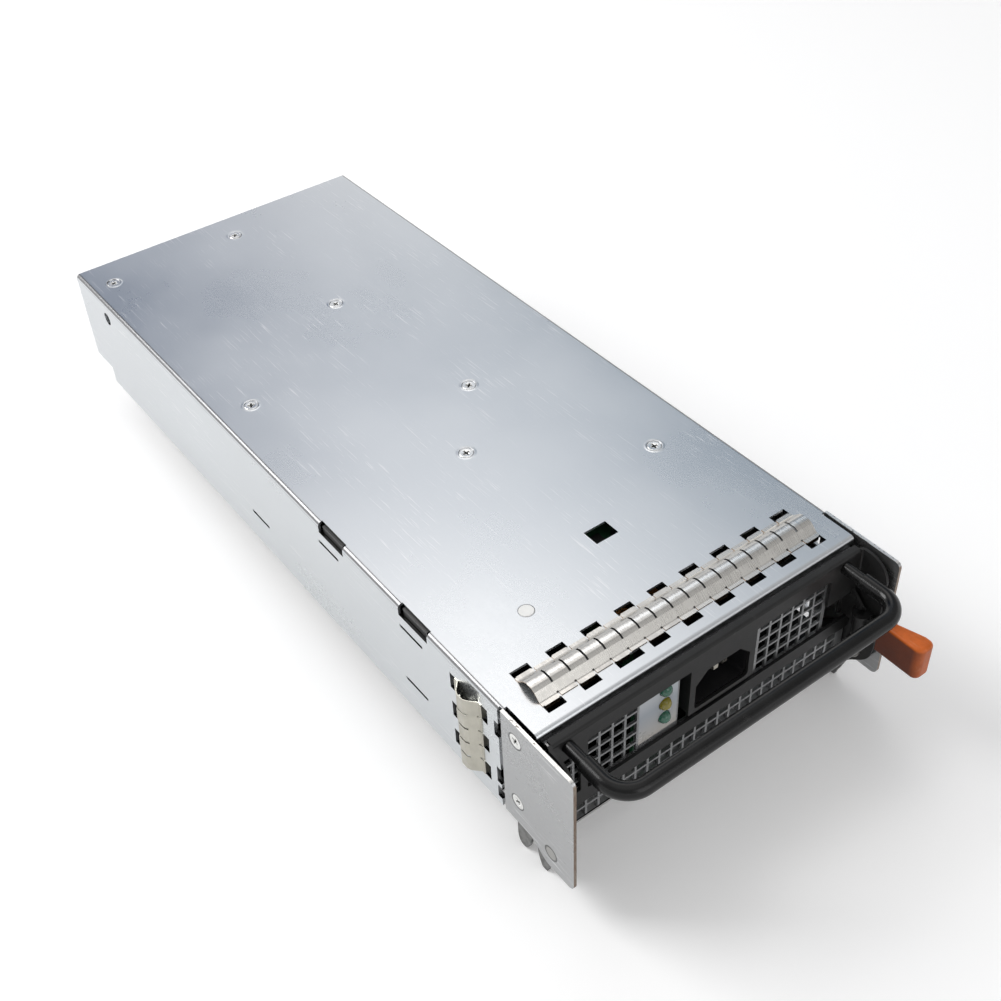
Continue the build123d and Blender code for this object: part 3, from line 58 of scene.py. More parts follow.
class Finish:
    """A surface finish: one Principled shader fed by patterns on Object coordinates, in millimetres."""

    def __init__(self, name, colour, metal=0.0, rough=0.5, **sockets):
        self.material = bpy.data.materials.new(name)
        self.material.use_nodes = True
        self.tree = self.material.node_tree
        self.shader = self.tree.nodes["Principled BSDF"]
        self.shader.inputs["Base Color"].default_value = (*colour, 1)
        self.shader.inputs["Metallic"].default_value = metal
        self.shader.inputs["Roughness"].default_value = rough
        for socket, value in sockets.items():
            self.shader.inputs[socket.replace("_", " ")].default_value = value
        where = self.tree.nodes.new("ShaderNodeTexCoord")
        scaled = self.tree.nodes.new("ShaderNodeVectorMath")
        scaled.operation = "SCALE"
        scaled.inputs["Scale"].default_value = 1000.0
        self.tree.links.new(where.outputs["Object"], scaled.inputs[0])
        self.place = scaled.outputs[0]
        self.normal = None

    def put(self, socket, source):
        """Links a source socket, or sets a plain value, on any input socket."""
        if isinstance(source, bpy.types.NodeSocket):
            self.tree.links.new(source, socket)
        else:
            socket.default_value = source

    def axis(self, letter):
        """The X, Y or Z coordinate in millimetres."""
        parts = self.tree.nodes.new("ShaderNodeSeparateXYZ")
        self.put(parts.inputs[0], self.place)
        return parts.outputs[letter]

    def facing(self, letter):
        """The surface normal's X, Y or Z component."""
        geometry = self.tree.nodes.new("ShaderNodeNewGeometry")
        parts = self.tree.nodes.new("ShaderNodeSeparateXYZ")
        self.put(parts.inputs[0], geometry.outputs["Normal"])
        return parts.outputs[letter]

    def calc(self, kind, first, second=0.0):
        """One arithmetic step."""
        step = self.tree.nodes.new("ShaderNodeMath")
        step.operation = kind
        self.put(step.inputs[0], first)
        self.put(step.inputs[1], second)
        return step.outputs[0]

    def both(self, first, *others):
        """Product of several amounts: 1 only where each is 1."""
        for other in others:
            first = self.calc("MULTIPLY", first, other)
        return first

    def between(self, value, low, high, soft=0.05):
        """1 where low < value < high, fading over the soft width."""
        rise = self.span(value, low - soft, low + soft)
        fall = self.span(value, high - soft, high + soft)
        return self.calc("MULTIPLY", rise, self.calc("SUBTRACT", 1.0, fall))

    def span(self, value, low, high, out_low=0.0, out_high=1.0):
        """Maps low..high to out_low..out_high, clamped."""
        mapped = self.tree.nodes.new("ShaderNodeMapRange")
        mapped.clamp = True
        for name, number in (
            ("Value", value),
            ("From Min", low),
            ("From Max", high),
            ("To Min", out_low),
            ("To Max", out_high),
        ):
            self.put(mapped.inputs[name], number)
        return mapped.outputs[0]

    def stretched(self, stretch, shift=(0, 0, 0)):
        """Coordinates divided by a grain size along each axis, after a shift."""
        mapping = self.tree.nodes.new("ShaderNodeMapping")
        mapping.vector_type = "POINT"
        self.put(mapping.inputs["Vector"], self.place)
        mapping.inputs["Location"].default_value = tuple(-s / g for s, g in zip(shift, stretch))
        mapping.inputs["Scale"].default_value = tuple(1 / g for g in stretch)
        return mapping.outputs[0]

    def grain(self, size, detail=3.0, sharp=0.5, shift=(0, 0, 0)):
        """Noise whose grains measure size millimetres, one number or one for each axis."""
        sizes = size if isinstance(size, tuple) else (size, size, size)
        noise = self.tree.nodes.new("ShaderNodeTexNoise")
        self.put(noise.inputs["Vector"], self.stretched(sizes, shift))
        noise.inputs["Scale"].default_value = 1.0
        noise.inputs["Detail"].default_value = detail
        noise.inputs["Roughness"].default_value = sharp
        return noise.outputs["Fac"]

    def crystals(self, size):
        """Random grey for each cell of a crystal pattern."""
        cells = self.tree.nodes.new("ShaderNodeTexVoronoi")
        self.put(cells.inputs["Vector"], self.stretched((size, size, size)))
        cells.inputs["Scale"].default_value = 1.0
        parts = self.tree.nodes.new("ShaderNodeSeparateColor")
        self.put(parts.inputs[0], cells.outputs["Color"])
        return parts.outputs[0]

    def blend(self, amount, first, second):
        """Mixes two colours."""
        mix = self.tree.nodes.new("ShaderNodeMix")
        mix.data_type = "RGBA"
        self.put(mix.inputs[0], amount)
        for socket, value in ((mix.inputs[6], first), (mix.inputs[7], second)):
            self.put(socket, (*value, 1) if isinstance(value, tuple) else value)
        return mix.outputs[2]

    def ring_distance(self, centre, axes=("X", "Y")):
        """Distance in millimetres from an axis-parallel line through centre."""
        first = self.calc("SUBTRACT", self.axis(axes[0]), centre[0])
        second = self.calc("SUBTRACT", self.axis(axes[1]), centre[1])
        square = self.calc("ADD", self.both(first, first), self.both(second, second))
        return self.calc("SQRT", square)

    def attribute(self, name):
        """A value kept on the piece's own points."""
        kept = self.tree.nodes.new("ShaderNodeAttribute")
        kept.attribute_name = name
        return kept.outputs["Fac"]

    def ring(self, centre, inner, outer, soft=0.1, axes=("X", "Y")):
        """1 on the ring between two radii about an axis-parallel line."""
        return self.between(self.ring_distance(centre, axes), inner, outer, soft)

    def tint(self, amount, colour):
        """Lays a colour over what the base colour already holds."""
        below = self.shader.inputs["Base Color"]
        source = below.links[0].from_socket if below.links else tuple(below.default_value)[:3]
        self.colour(self.blend(amount, source, colour))

    def colour(self, source):
        """Feeds the base colour."""
        self.put(self.shader.inputs["Base Color"], source)

    def roughness(self, source):
        """Feeds the roughness."""
        self.put(self.shader.inputs["Roughness"], source)

    def bump(self, height, depth):
        """Adds a bump of the given depth in millimetres."""
        bump = self.tree.nodes.new("ShaderNodeBump")
        bump.inputs["Distance"].default_value = depth * MM
        bump.inputs["Strength"].default_value = 1.0
        self.put(bump.inputs["Height"], height)
        if self.normal is not None:
            self.put(bump.inputs["Normal"], self.normal)
        self.normal = bump.outputs[0]
        self.put(self.shader.inputs["Normal"], self.normal)


def zinc_sheet(name, tone, screws=()):
    """Zinc coated sheet: fine spangle, faint scratches, cloudy smudges and a dent round each screw."""
    base = Finish(name, tone, metal=0.93, rough=0.3)
    spangle = base.crystals(0.8)
    fine = base.crystals(0.35)
    cloud = base.grain((60, 90, 60), 4.0, 0.55)
    along = base.grain((0.6, 16, 0.6), 3.0, 0.6)
    across = base.grain((38, 0.4, 30), 2.0, 0.6, shift=(11, 0, 0))
    patch = base.grain((26, 60, 26), 2.0, 0.5, shift=(70, 260, 0))
    scratch = base.both(base.span(along, 0.6, 0.68), base.span(patch, 0.43, 0.58))
    scuff = base.both(base.span(across, 0.69, 0.76), base.span(patch, 0.5, 0.65))
    marks = base.calc("MAXIMUM", scratch, base.both(scuff, 0.2))
    light = tuple(min(1.0, c * 1.09) for c in tone)
    dark = tuple(c * 0.88 for c in tone)
    mixed = base.blend(base.both(spangle, 0.07), tone, dark)
    mixed = base.blend(base.span(cloud, 0.35, 0.7, 0.0, 0.5), mixed, light)
    mixed = base.blend(base.both(marks, 0.6), mixed, (0.95, 0.95, 0.96))
    base.colour(mixed)
    sheen = base.span(spangle, 0, 1, 0.28, 0.295)
    rough = base.calc("ADD", sheen, base.both(marks, 0.06))
    base.roughness(base.calc("ADD", rough, base.span(cloud, 0.3, 0.7, -0.03, 0.04)))
    height = base.calc("ADD", base.both(fine, 0.5), base.both(marks, -0.25))
    base.bump(height, 0.0018)
    if screws:
        dents = 0.0
        for centre in screws:
            away = base.ring_distance(centre)
            dents = base.calc("ADD", dents, base.between(away, 3.1, 3.75, 0.35))
        base.bump(dents, 0.1)
    return base


def black_paint(name, tone, rough, wear):
    """Satin black coating: fine orange peel, dust and rubbed spots."""
    base = Finish(name, (tone,) * 3, rough=rough)
    peel = base.grain(0.5, 2.0, 0.5)
    rubbed = base.span(base.grain((5, 5, 5), 5.0, 0.65), 0.62, 0.75)
    dust = base.grain(14, 4.0, 0.6)
    dusted = base.blend(base.span(dust, 0.4, 0.75, 0.0, 0.25), (tone,) * 3, (tone * 2.2 + 0.01,) * 3)
    base.colour(base.blend(base.both(rubbed, wear), dusted, (0.17, 0.165, 0.16)))
    dull = base.span(dust, 0.3, 0.7, rough - 0.05, rough + 0.08)
    base.roughness(base.calc("ADD", dull, base.both(rubbed, 0.1)))
    base.bump(peel, 0.02)
    return base


def moulding(name, tone, rough, grit=0.35, depth=0.02, spread=0.12):
    """Moulded plastic: spark-eroded grain and slight shade changes."""
    base = Finish(name, tone, rough=rough)
    shade = base.grain(9, 3.0, 0.6)
    low = tuple(c * (1 - spread) for c in tone)
    high = tuple(min(1.0, c * (1 + spread) + 0.004) for c in tone)
    base.colour(base.blend(base.span(shade, 0.3, 0.7), low, high))
    base.roughness(base.span(shade, 0.3, 0.7, rough - 0.05, rough + 0.06))
    base.bump(base.grain(grit, 2.0, 0.5), depth)
    return base


def bright_metal(name, tone, rough, brushed=(0.25, 9, 9)):
    """Plated or spring metal with a drawn grain and a few stains."""
    base = Finish(name, tone, metal=1.0, rough=rough)
    lines = base.grain(brushed, 3.0, 0.6)
    stain = base.grain(6, 4.0, 0.6)
    low = tuple(c * 0.8 for c in tone)
    base.colour(base.blend(base.span(stain, 0.42, 0.72, 0, 0.6), tone, low))
    drawn = base.span(lines, 0.3, 0.7, rough - 0.06, rough + 0.07)
    base.roughness(base.calc("ADD", drawn, base.span(stain, 0.45, 0.7, 0, 0.1)))
    base.bump(lines, 0.008)
    return base


def coil(name, tone, pitch, axis="Z"):
    """Enamelled wire laid in turns: a sine ridge for each turn."""
    base = Finish(name, tone, metal=0.7, rough=0.32)
    turn = base.calc("SINE", base.both(base.axis(axis), 2 * np.pi / pitch))
    base.colour(base.blend(base.span(turn, -1, 1), tuple(c * 0.45 for c in tone), tone))
    base.bump(base.span(turn, -1, 1), 0.3)
    return base


# Places and sizes that the finishes and the screw heads share, in millimetres
cover_screw_places = [
    (7.4, 244.6), (-57.7, 203.7), (17.8, 158.3), (-8.0, 124.2), (49.9, 81.9), (-62.2, 325.3), (1.0, 326.7)
]
plate_screw_places = [(8.4, 43.2), (8.4, 11.5)]
pivot_place = (-8.9, 2.5)
plug_place = (-40.6, 44.2)
side_hole = (313.2, 42.8)
screw_radius = 3.0
shank_radius = 1.45
countersink_start = 1.5
lid_reach = 5.0
wall_reach = 1.95
cover_face = 51.5
plate_face = 73.0
wall_middle = plate_face - 0.5
wall_ring = ("Y", "Z")

# Finishes
cover_zinc = zinc_sheet("cover_zinc", (0.695, 0.72, 0.738), screws=cover_screw_places)
# Painted shade: a dark ring in the gap round each lid screw's seat
for place in cover_screw_places:
    seat_gap_shade = cover_zinc.ring(place, 2.95, 3.15)
    cover_zinc.tint(cover_zinc.both(seat_gap_shade, 0.25), (0.4, 0.41, 0.42))
# Painted shade: a dark ring in the gap round the cover plug
plug_gap_shade = cover_zinc.ring(plug_place, 2.7, 3.05)
cover_zinc.tint(cover_zinc.both(plug_gap_shade, 0.7), (0.33, 0.34, 0.36))
sideways = cover_zinc.calc("ABSOLUTE", cover_zinc.facing("X"))
side_wall = cover_zinc.span(sideways, 0.8, 0.95)
hem = cover_zinc.between(cover_zinc.axis("Z"), cover_face - 2.2, cover_face - 1.8, 0.15)
cover_zinc.tint(cover_zinc.both(hem, side_wall, 0.4), (0.3, 0.3, 0.31))
# Painted shade: the rounded bends between lid and side walls are darkened to tone down their highlight
bend_painted_shade = cover_zinc.between(sideways, 0.15, 0.9)
cover_zinc.tint(bend_painted_shade, (0.24, 0.24, 0.245))
# Painted shade: faces looking up below the lid's face, seen through the slots, are made nearly black
upward = cover_zinc.span(cover_zinc.facing("Z"), 0.9, 0.99)
below_lid_shade = cover_zinc.span(cover_zinc.axis("Z"), cover_face - 0.3, cover_face - 0.5)
cover_zinc.tint(cover_zinc.both(upward, below_lid_shade), (0.03, 0.03, 0.03))
# Painted shade: the inner faces of the side walls are made nearly black
off_centre = cover_zinc.calc("ABSOLUTE", cover_zinc.axis("X"))
inner_side_shade = cover_zinc.span(off_centre, wall_middle + 0.1, wall_middle - 0.1)
cover_zinc.tint(cover_zinc.both(inner_side_shade, side_wall), (0.03, 0.03, 0.03))
# Painted shade: the forward face of the lid's front lip is darkened
forward_face = cover_zinc.span(cover_zinc.facing("Y"), -0.75, -0.95)
front_lip_shade = cover_zinc.span(cover_zinc.axis("Y"), 1.5, 0.8)
cover_zinc.tint(cover_zinc.both(forward_face, front_lip_shade, 0.8), (0.12, 0.12, 0.125))

tray_zinc = zinc_sheet("tray_zinc", (0.56, 0.56, 0.56))
# Painted shade: the tray's inner floor is made nearly black
upward = tray_zinc.span(tray_zinc.facing("Z"), 0.6, 0.9)
inner_floor_shade = tray_zinc.both(upward, tray_zinc.span(tray_zinc.axis("Z"), 2.0, 1.5))
tray_zinc.tint(inner_floor_shade, (0.03, 0.03, 0.03))
# Painted shade: the tray's upper band under the lid is made nearly black
tray_top_shade = tray_zinc.span(tray_zinc.axis("Z"), 44.0, 45.5)
tray_zinc.tint(tray_zinc.both(tray_top_shade, 0.9), (0.04, 0.04, 0.04))
# Painted shade: the tray wall behind the round side hole is painted black and made non-metallic, so the
# hole looks dark
shade_behind_hole = tray_zinc.span(tray_zinc.ring_distance(side_hole, wall_ring), 3.4, 3.2)
left_wall = tray_zinc.span(tray_zinc.axis("X"), -60, -70)
tray_zinc.tint(tray_zinc.both(shade_behind_hole, left_wall), (0.004, 0.004, 0.004))
tray_zinc.put(tray_zinc.shader.inputs["Metallic"], tray_zinc.span(shade_behind_hole, 0, 1, 0.93, 0.0))

plate_zinc = zinc_sheet("plate_zinc", (0.46, 0.465, 0.47))
flecks = plate_zinc.span(plate_zinc.grain((1.2, 1.2, 1.2), 4.0, 0.65), 0.6, 0.72)
plate_zinc.tint(plate_zinc.both(flecks, 0.3), (0.74, 0.73, 0.7))
pit_grain = plate_zinc.grain((0.9, 2.4, 0.9), 4.0, 0.6, shift=(3, 5, 7))
plate_zinc.tint(plate_zinc.both(plate_zinc.span(pit_grain, 0.66, 0.74), 0.6), (0.12, 0.12, 0.12))
# Pale along the plate's top edge, with darker nicks
top_edge_band = plate_zinc.span(plate_zinc.axis("Z"), cover_face - 0.4, cover_face - 0.15)
nicks = plate_zinc.span(plate_zinc.grain((0.8, 1.6, 2), 3.0, 0.6), 0.6, 0.68)
plate_zinc.tint(plate_zinc.both(top_edge_band, plate_zinc.calc("SUBTRACT", 1.0, nicks)), (0.9, 0.89, 0.86))
plate_zinc.tint(plate_zinc.both(top_edge_band, nicks), (0.25, 0.24, 0.22))
raw_edge = plate_zinc.both(plate_zinc.span(plate_zinc.facing("Y"), -0.8, -0.95), 0.85)
rust_grain = plate_zinc.span(plate_zinc.grain((1, 1.5, 3), 4.0, 0.6), 0.35, 0.6)
plate_zinc.tint(raw_edge, plate_zinc.blend(rust_grain, (0.3, 0.24, 0.18), (0.2, 0.12, 0.07)))
# Painted shade: a dark ring in the gap round each side screw and round the pivot rivet
for place in plate_screw_places:
    seat_gap_shade = plate_zinc.ring(place, 2.9, 3.35, axes=wall_ring)
    plate_zinc.tint(plate_zinc.both(seat_gap_shade, 0.85), (0.06, 0.06, 0.06))
seat_gap_shade = plate_zinc.ring(pivot_place, 2.6, 3.25, axes=wall_ring)
plate_zinc.tint(plate_zinc.both(seat_gap_shade, 0.85), (0.07, 0.07, 0.07))

panel_zinc = zinc_sheet("panel_zinc", (0.32, 0.325, 0.33))
panel_height = panel_zinc.axis("Z")
# Painted light: the strip along the panel's bottom bend is made pale
panel_zinc.tint(panel_zinc.span(panel_height, 1.6, 1.2), (0.75, 0.76, 0.77))
lamp_field = panel_zinc.both(
    panel_zinc.between(panel_zinc.axis("X"), -31.9, -15.2),
    panel_zinc.between(panel_height, 20.5, 46.5),
    panel_zinc.span(panel_zinc.facing("Y"), -0.9, -0.99),
)
# Painted reflection: the lamp field runs warm at the bottom, blue-grey in the middle and pale at the top
field_reflection_low = panel_zinc.blend(panel_zinc.span(panel_height, 21, 33), (0.42, 0.40, 0.37), (0.35, 0.38, 0.42))
field_painted_reflection = panel_zinc.blend(panel_zinc.span(panel_height, 34, 45), field_reflection_low, (0.62, 0.64, 0.66))
panel_zinc.tint(lamp_field, field_painted_reflection)
panel_zinc.put(panel_zinc.shader.inputs["Metallic"], panel_zinc.span(lamp_field, 0, 1, 0.8, 0.1))

finger_metal = bright_metal("finger_metal", (0.72, 0.70, 0.66), 0.26)
side_finger_metal = bright_metal("side_finger_metal", (0.56, 0.54, 0.47), 0.34)
strip_low, strip_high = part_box("top_finger_strip")
crest = (strip_low.y + strip_high.y) / 2 / MM
# Painted shade on the rear slope, a painted highlight along the crest and painted shade on the front slope,
# with wavy edges from the scored grain
scored = finger_metal.grain((0.35, 3.2, 0.35), 3.0, 0.6)
wavy = finger_metal.calc("ADD", finger_metal.axis("Y"), finger_metal.span(scored, 0.3, 0.7, -0.35, 0.35))
rear_painted_shade = finger_metal.between(wavy, crest + 0.9, crest + 3.4, 0.5)
finger_metal.tint(finger_metal.both(rear_painted_shade, 0.55), (0.36, 0.36, 0.36))
crest_painted_highlight = finger_metal.between(wavy, crest - 0.4, crest + 0.7, 0.3)
finger_metal.tint(finger_metal.both(crest_painted_highlight, 0.9), (1.0, 1.0, 0.98))
front_painted_shade = finger_metal.between(wavy, crest - 1.9, crest - 0.8, 0.4)
finger_metal.tint(finger_metal.both(front_painted_shade, 0.5), (0.45, 0.44, 0.42))
upward = finger_metal.facing("Z")
cut_edge = finger_metal.both(finger_metal.span(upward, 0.25, 0.05), finger_metal.span(upward, -0.25, -0.05))
finger_metal.tint(cut_edge, (0.10, 0.06, 0.03))
screw_metal = bright_metal("screw_metal", (0.62, 0.61, 0.58), 0.3, (0.4, 0.4, 0.4))
screw_head = bright_metal("screw_head", (0.92, 0.92, 0.9), 0.24, (0.5, 0.5, 0.5))
# Painted shade: the cross recess is made nearly black
screw_head.tint(screw_head.attribute("recess"), (0.03, 0.03, 0.03))
dull_rivet = bright_metal("dull_rivet", (0.46, 0.455, 0.44), 0.45, (0.6, 0.6, 0.6))
rivet_rim = dull_rivet.ring(pivot_place, 2.4, 3.0, axes=wall_ring)
dull_rivet.tint(dull_rivet.both(rivet_rim, 0.6), (0.2, 0.2, 0.19))
dark_pin = bright_metal("dark_pin", (0.05, 0.05, 0.05), 0.35, (0.5, 0.5, 0.5))
tinned_blade = bright_metal("tinned_blade", (0.74, 0.70, 0.62), 0.28)
gold_contact = bright_metal("gold_contact", (0.86, 0.62, 0.26), 0.25)
black_handle = black_paint("black_handle", 0.012, 0.38, 0.2)
# Painted reflection of the pale floor on the hooks, with rubbed wear: greyer below the arms
hook_wear_and_reflection = black_handle.span(black_handle.grain((3, 3, 3), 4.0, 0.6), 0.35, 0.6, 0.35, 0.9)
hook_wear_and_reflection = black_handle.both(hook_wear_and_reflection, black_handle.span(black_handle.axis("Z"), -3, -7))
black_handle.tint(hook_wear_and_reflection, (0.2, 0.2, 0.195))
black_bail = black_paint("black_bail", 0.005, 0.2, 0.05)
black_inlet = moulding("black_inlet", (0.010, 0.010, 0.011), 0.4)
fan_black = moulding("fan_black", (0.014, 0.014, 0.015), 0.5)
latch_orange = moulding("latch_orange", (0.56, 0.115, 0.012), 0.32, grit=0.5, depth=0.03, spread=0.25)
latch_orange.shader.inputs["Specular IOR Level"].default_value = 0.35
rubbed_grip = latch_orange.span(latch_orange.grain((2.5, 7, 4), 4.0, 0.6), 0.56, 0.7, 0.0, 0.45)
latch_orange.tint(rubbed_grip, (0.68, 0.27, 0.12))
# Painted shade: faces of the grip that don't look up are darkened, less so towards the front
not_upward = latch_orange.span(latch_orange.facing("Z"), 0.6, 0.0)
front_fade = latch_orange.span(latch_orange.axis("Y"), -39.5, -36.0, 0.35, 1.0)
grip_side_painted_shade = latch_orange.both(not_upward, 0.88, front_fade)
latch_orange.tint(grip_side_painted_shade, (0.055, 0.013, 0.008))
white_disc = moulding("white_disc", (0.82, 0.82, 0.80), 0.35)
green_lens = moulding("green_lens", (0.022, 0.125, 0.078), 0.16, depth=0.004)
yellow_lens = moulding("yellow_lens", (0.24, 0.20, 0.006), 0.16, depth=0.004)
for lens in (green_lens, yellow_lens):
    lens.shader.inputs["Transmission Weight"].default_value = 0.1
    lens.shader.inputs["Coat Weight"].default_value = 0.6
for black in (black_handle, black_bail, black_inlet, fan_black):
    black.shader.inputs["Specular IOR Level"].default_value = 0.33
board_green = moulding("board_green", (0.02, 0.10, 0.045), 0.4, depth=0.01, spread=0.3)
film = moulding("film", (0.8, 0.78, 0.66), 0.3)
sink_metal = bright_metal("sink_metal", (0.74, 0.75, 0.76), 0.35, (6, 40, 0.3))
sleeve = moulding("sleeve", (0.04, 0.045, 0.08), 0.3)
ferrite = moulding("ferrite", (0.07, 0.07, 0.075), 0.6)
copper_coil = coil("copper_coil", (0.58, 0.24, 0.09), 1.1)
green_coil = coil("green_coil", (0.12, 0.3, 0.1), 1.4)
yellow_box = moulding("yellow_box", (0.62, 0.45, 0.08), 0.35)
case_black = moulding("case_black", (0.02, 0.02, 0.02), 0.45)

wearing = {
    "top_cover": cover_zinc, "base_tray": tray_zinc, "rear_panel": tray_zinc, "front_panel": panel_zinc,
    "left_bracket_plate": plate_zinc, "right_bracket_plate": plate_zinc,
    "top_finger_strip": finger_metal, "left_finger_strip": side_finger_metal,
    "right_finger_strip": side_finger_metal,
    "cover_screws": screw_metal, "bracket_screws": screw_metal, "board_screws": screw_metal,
    "pivot_rivets": dull_rivet, "latch_pin": dark_pin, "latch_spring": screw_metal,
    "cover_posts": screw_metal, "board_feet": screw_metal, "input_posts": screw_metal,
    "control_posts": screw_metal, "control_board": board_green, "control_chips": case_black,
    "cover_plug": white_disc, "handle_bracket": black_handle, "latch_lever": black_handle,
    "bail_rod": black_bail, "bail_grip": black_bail, "latch_grip": latch_orange,
    "inlet_housing": black_inlet, "connector_shell": black_inlet, "inlet_blades": tinned_blade,
    "connector_contacts": gold_contact, "left_fan_frame": fan_black, "right_fan_frame": fan_black,
    "left_fan_rotor": fan_black, "right_fan_rotor": fan_black, "green_lamps": green_lens,
    "yellow_lamp": yellow_lens, "main_board": board_green, "input_board": board_green,
    "lamp_board": board_green, "insulator_sheet": film, "left_heat_sink": sink_metal,
    "right_heat_sink": sink_metal, "bulk_capacitors": sleeve, "output_capacitors": sleeve,
    "transformer_core": ferrite, "transformer_winding": copper_coil, "boost_choke": green_coil,
    "output_choke": copper_coil, "filter_choke": copper_coil, "power_transistors": case_black,
    "filter_capacitor": yellow_box,
}
for name, node in nodes.items():
    finish = wearing[name]
    node.data.materials.clear()
    node.data.materials.append(finish.material)


# Screw heads
face_dish = 2.4
face_rim = 2.55
dish_depth = 0.10
rim_fall = 0.35
recess_half_width = 0.36
recess_reach = 1.45
recess_edge = 0.14
recess_depth = 0.8
face_sunk = 0.02
axis_radius = 0.06


def recess_step(inside):
    """0 outside and 1 inside, rising over the recess's edge."""
    return np.clip(inside / recess_edge + 0.5, 0, 1)


def screw_rings(reach, turns=64):
    """One screw about Z with its face at zero, as rings of points.

    Face: radius runs 0 to the head's, and the height is a shallow cosine dish inside a raised
    rim that falls off as a parabola; where either of two crossed strips covers the point, a
    smooth step sinks it into the cross recess. Flank: the profile runs down the cone to the
    shank and on to the tip.
    """
    middle = np.linspace(axis_radius, 1.9, 30)
    outside = np.linspace(2.0, screw_radius, 10)
    radius = np.concatenate([middle, outside])[:, None]
    angle = np.linspace(0, 2 * np.pi, turns, endpoint=False)[None, :]
    x, y = radius * np.cos(angle), radius * np.sin(angle)
    dish = -dish_depth * (1 + np.cos(np.pi * np.clip(radius / face_dish, 0, 1))) / 2
    rim = -rim_fall * np.clip((radius - face_rim) / (screw_radius - face_rim), 0, 1) ** 2
    strips = [
        recess_step(recess_half_width - np.abs(across)) * recess_step(recess_reach - np.abs(along))
        for across, along in ((x, y), (y, x))
    ]
    recess = np.maximum(*strips)
    sunk = recess_depth * recess * (1 - 0.35 * radius / recess_reach)
    face = np.stack([x, y, -face_sunk + dish + rim - sunk], axis=-1)
    cone_depth = (screw_radius - countersink_start) / np.sqrt(3)
    flank = np.array([(shank_radius, -cone_depth - 0.3), (shank_radius, -reach), (axis_radius, -reach)])
    ring = np.stack([np.cos(angle[0]), np.sin(angle[0]), np.ones(turns)], axis=-1)
    lower = np.stack([ring * (r, r, h) for r, h in flank])
    depth = np.concatenate([recess, np.zeros((len(flank), turns))])
    return np.concatenate([face, lower]), depth


def closed_rings(points):
    """Faces of a stack of rings, each ring joined to the next, with a fan over both ends."""
    rings, turns = points.shape[:2]
    index = np.arange(rings * turns).reshape(rings, turns)
    ahead = np.roll(index, -1, axis=1)
    sides = np.stack([index[:-1], index[1:], ahead[1:], ahead[:-1]], axis=-1).reshape(-1, 4)
    ends = [index[0].tolist(), index[-1][::-1].tolist()]
    return [tuple(face) for face in sides.tolist() + ends]


def screw_set(name, replaced, places, reach, finish):
    """Copies of the screw, turned and shifted to its places, as one piece that stands for a CAD node."""
    points, recess = screw_rings(reach)
    faces = closed_rings(points)
    flat = points.reshape(-1, 3)
    corners = []
    joined = []
    for number, (turn, shift) in enumerate(places):
        corners.append((flat @ np.array(turn).T + shift) * MM)
        joined += [tuple(number * len(flat) + i for i in face) for face in faces]
    mesh = bpy.data.meshes.new(name)
    mesh.from_pydata(np.concatenate(corners).tolist(), [], joined)
    kept = mesh.attributes.new("recess", "FLOAT", "POINT")
    kept.data.foreach_set("value", np.tile(recess.ravel(), len(places)).astype(np.float32))
    mesh.shade_smooth()
    mesh.materials.append(finish.material)
    piece = bpy.data.objects.new(name, mesh)
    bpy.context.scene.collection.objects.link(piece)
    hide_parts(replaced)
    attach(piece, "case")


def turned_by(degrees):
    """Rotation about Z, so no two recesses line up."""
    angle = np.radians(degrees)
    return np.array([[np.cos(angle), -np.sin(angle), 0], [np.sin(angle), np.cos(angle), 0], [0, 0, 1]])


lid_turns = (20, 65, 40, 5, 80, 30, 55)
lid_places = [
    (turned_by(angle), (x, y, cover_face)) for angle, (x, y) in zip(lid_turns, cover_screw_places)
]
screw_set("lid_screw_heads", "cover_screws", lid_places, lid_reach, screw_head)
outward = {
    -1: np.array([[0, 0, -1], [0, 1, 0], [1, 0, 0]]),
    1: np.array([[0, 0, 1], [0, 1, 0], [-1, 0, 0]]),
}
wall_places = [
    (outward[side] @ turned_by(25 + z), (side * plate_face, y, z))
    for side in (-1, 1)
    for y, z in plate_screw_places
]
screw_set("plate_screw_heads", "bracket_screws", wall_places, wall_reach, screw_head)

# Studio: pale floor, soft sky and lamps
floor_reach = 6
floor_corners = [(-1, -1), (1, -1), (1, 1), (-1, 1)]
floor_mesh = bpy.data.meshes.new("floor")
floor_mesh.from_pydata(
    [(x * floor_reach, y * floor_reach, cad_low.z) for x, y in floor_corners], [], [(0, 1, 2, 3)])
floor = bpy.data.objects.new("floor", floor_mesh)
bpy.context.scene.collection.objects.link(floor)
paper = Finish("paper", (0.9, 0.9, 0.9), rough=0.9, Specular_IOR_Level=0.0)
seen = paper.tree.nodes.new("ShaderNodeLightPath")
paper.tint(seen.outputs["Is Camera Ray"], (1.0, 1.0, 1.0))
paper.shader.inputs["Emission Color"].default_value = (1.0, 0.985, 0.96, 1)
backdrop_glow = paper.span(paper.ring_distance((0, 170)), 700, 2600, 0.07, 0.8)
glow = paper.both(seen.outputs["Is Camera Ray"], backdrop_glow)
paper.put(paper.shader.inputs["Emission Strength"], glow)
floor_mesh.materials.append(paper.material)

world = bpy.data.worlds.new("studio")
bpy.context.scene.world = world
world.use_nodes = True
sky = world.node_tree
background = sky.nodes["Background"]
direction = sky.nodes.new("ShaderNodeTexCoord")
height = sky.nodes.new("ShaderNodeSeparateXYZ")
ramp = sky.nodes.new("ShaderNodeValToRGB")
sky.links.new(direction.outputs["Generated"], height.inputs[0])
sky.links.new(height.outputs["Z"], ramp.inputs[0])
room = [(0.0, (1.0, 1.0, 1.0)), (0.28, (0.95, 0.95, 0.95)), (0.42, (0.37, 0.37, 0.375)),
        (0.8, (0.38, 0.38, 0.385)), (1.0, (0.9, 0.9, 0.9))]
ends = ramp.color_ramp.elements
ends[0].position, ends[0].color = room[0][0], (*room[0][1], 1)
ends[1].position, ends[1].color = room[-1][0], (*room[-1][1], 1)
for position, shade in room[1:-1]:
    ends.new(position).color = (*shade, 1)
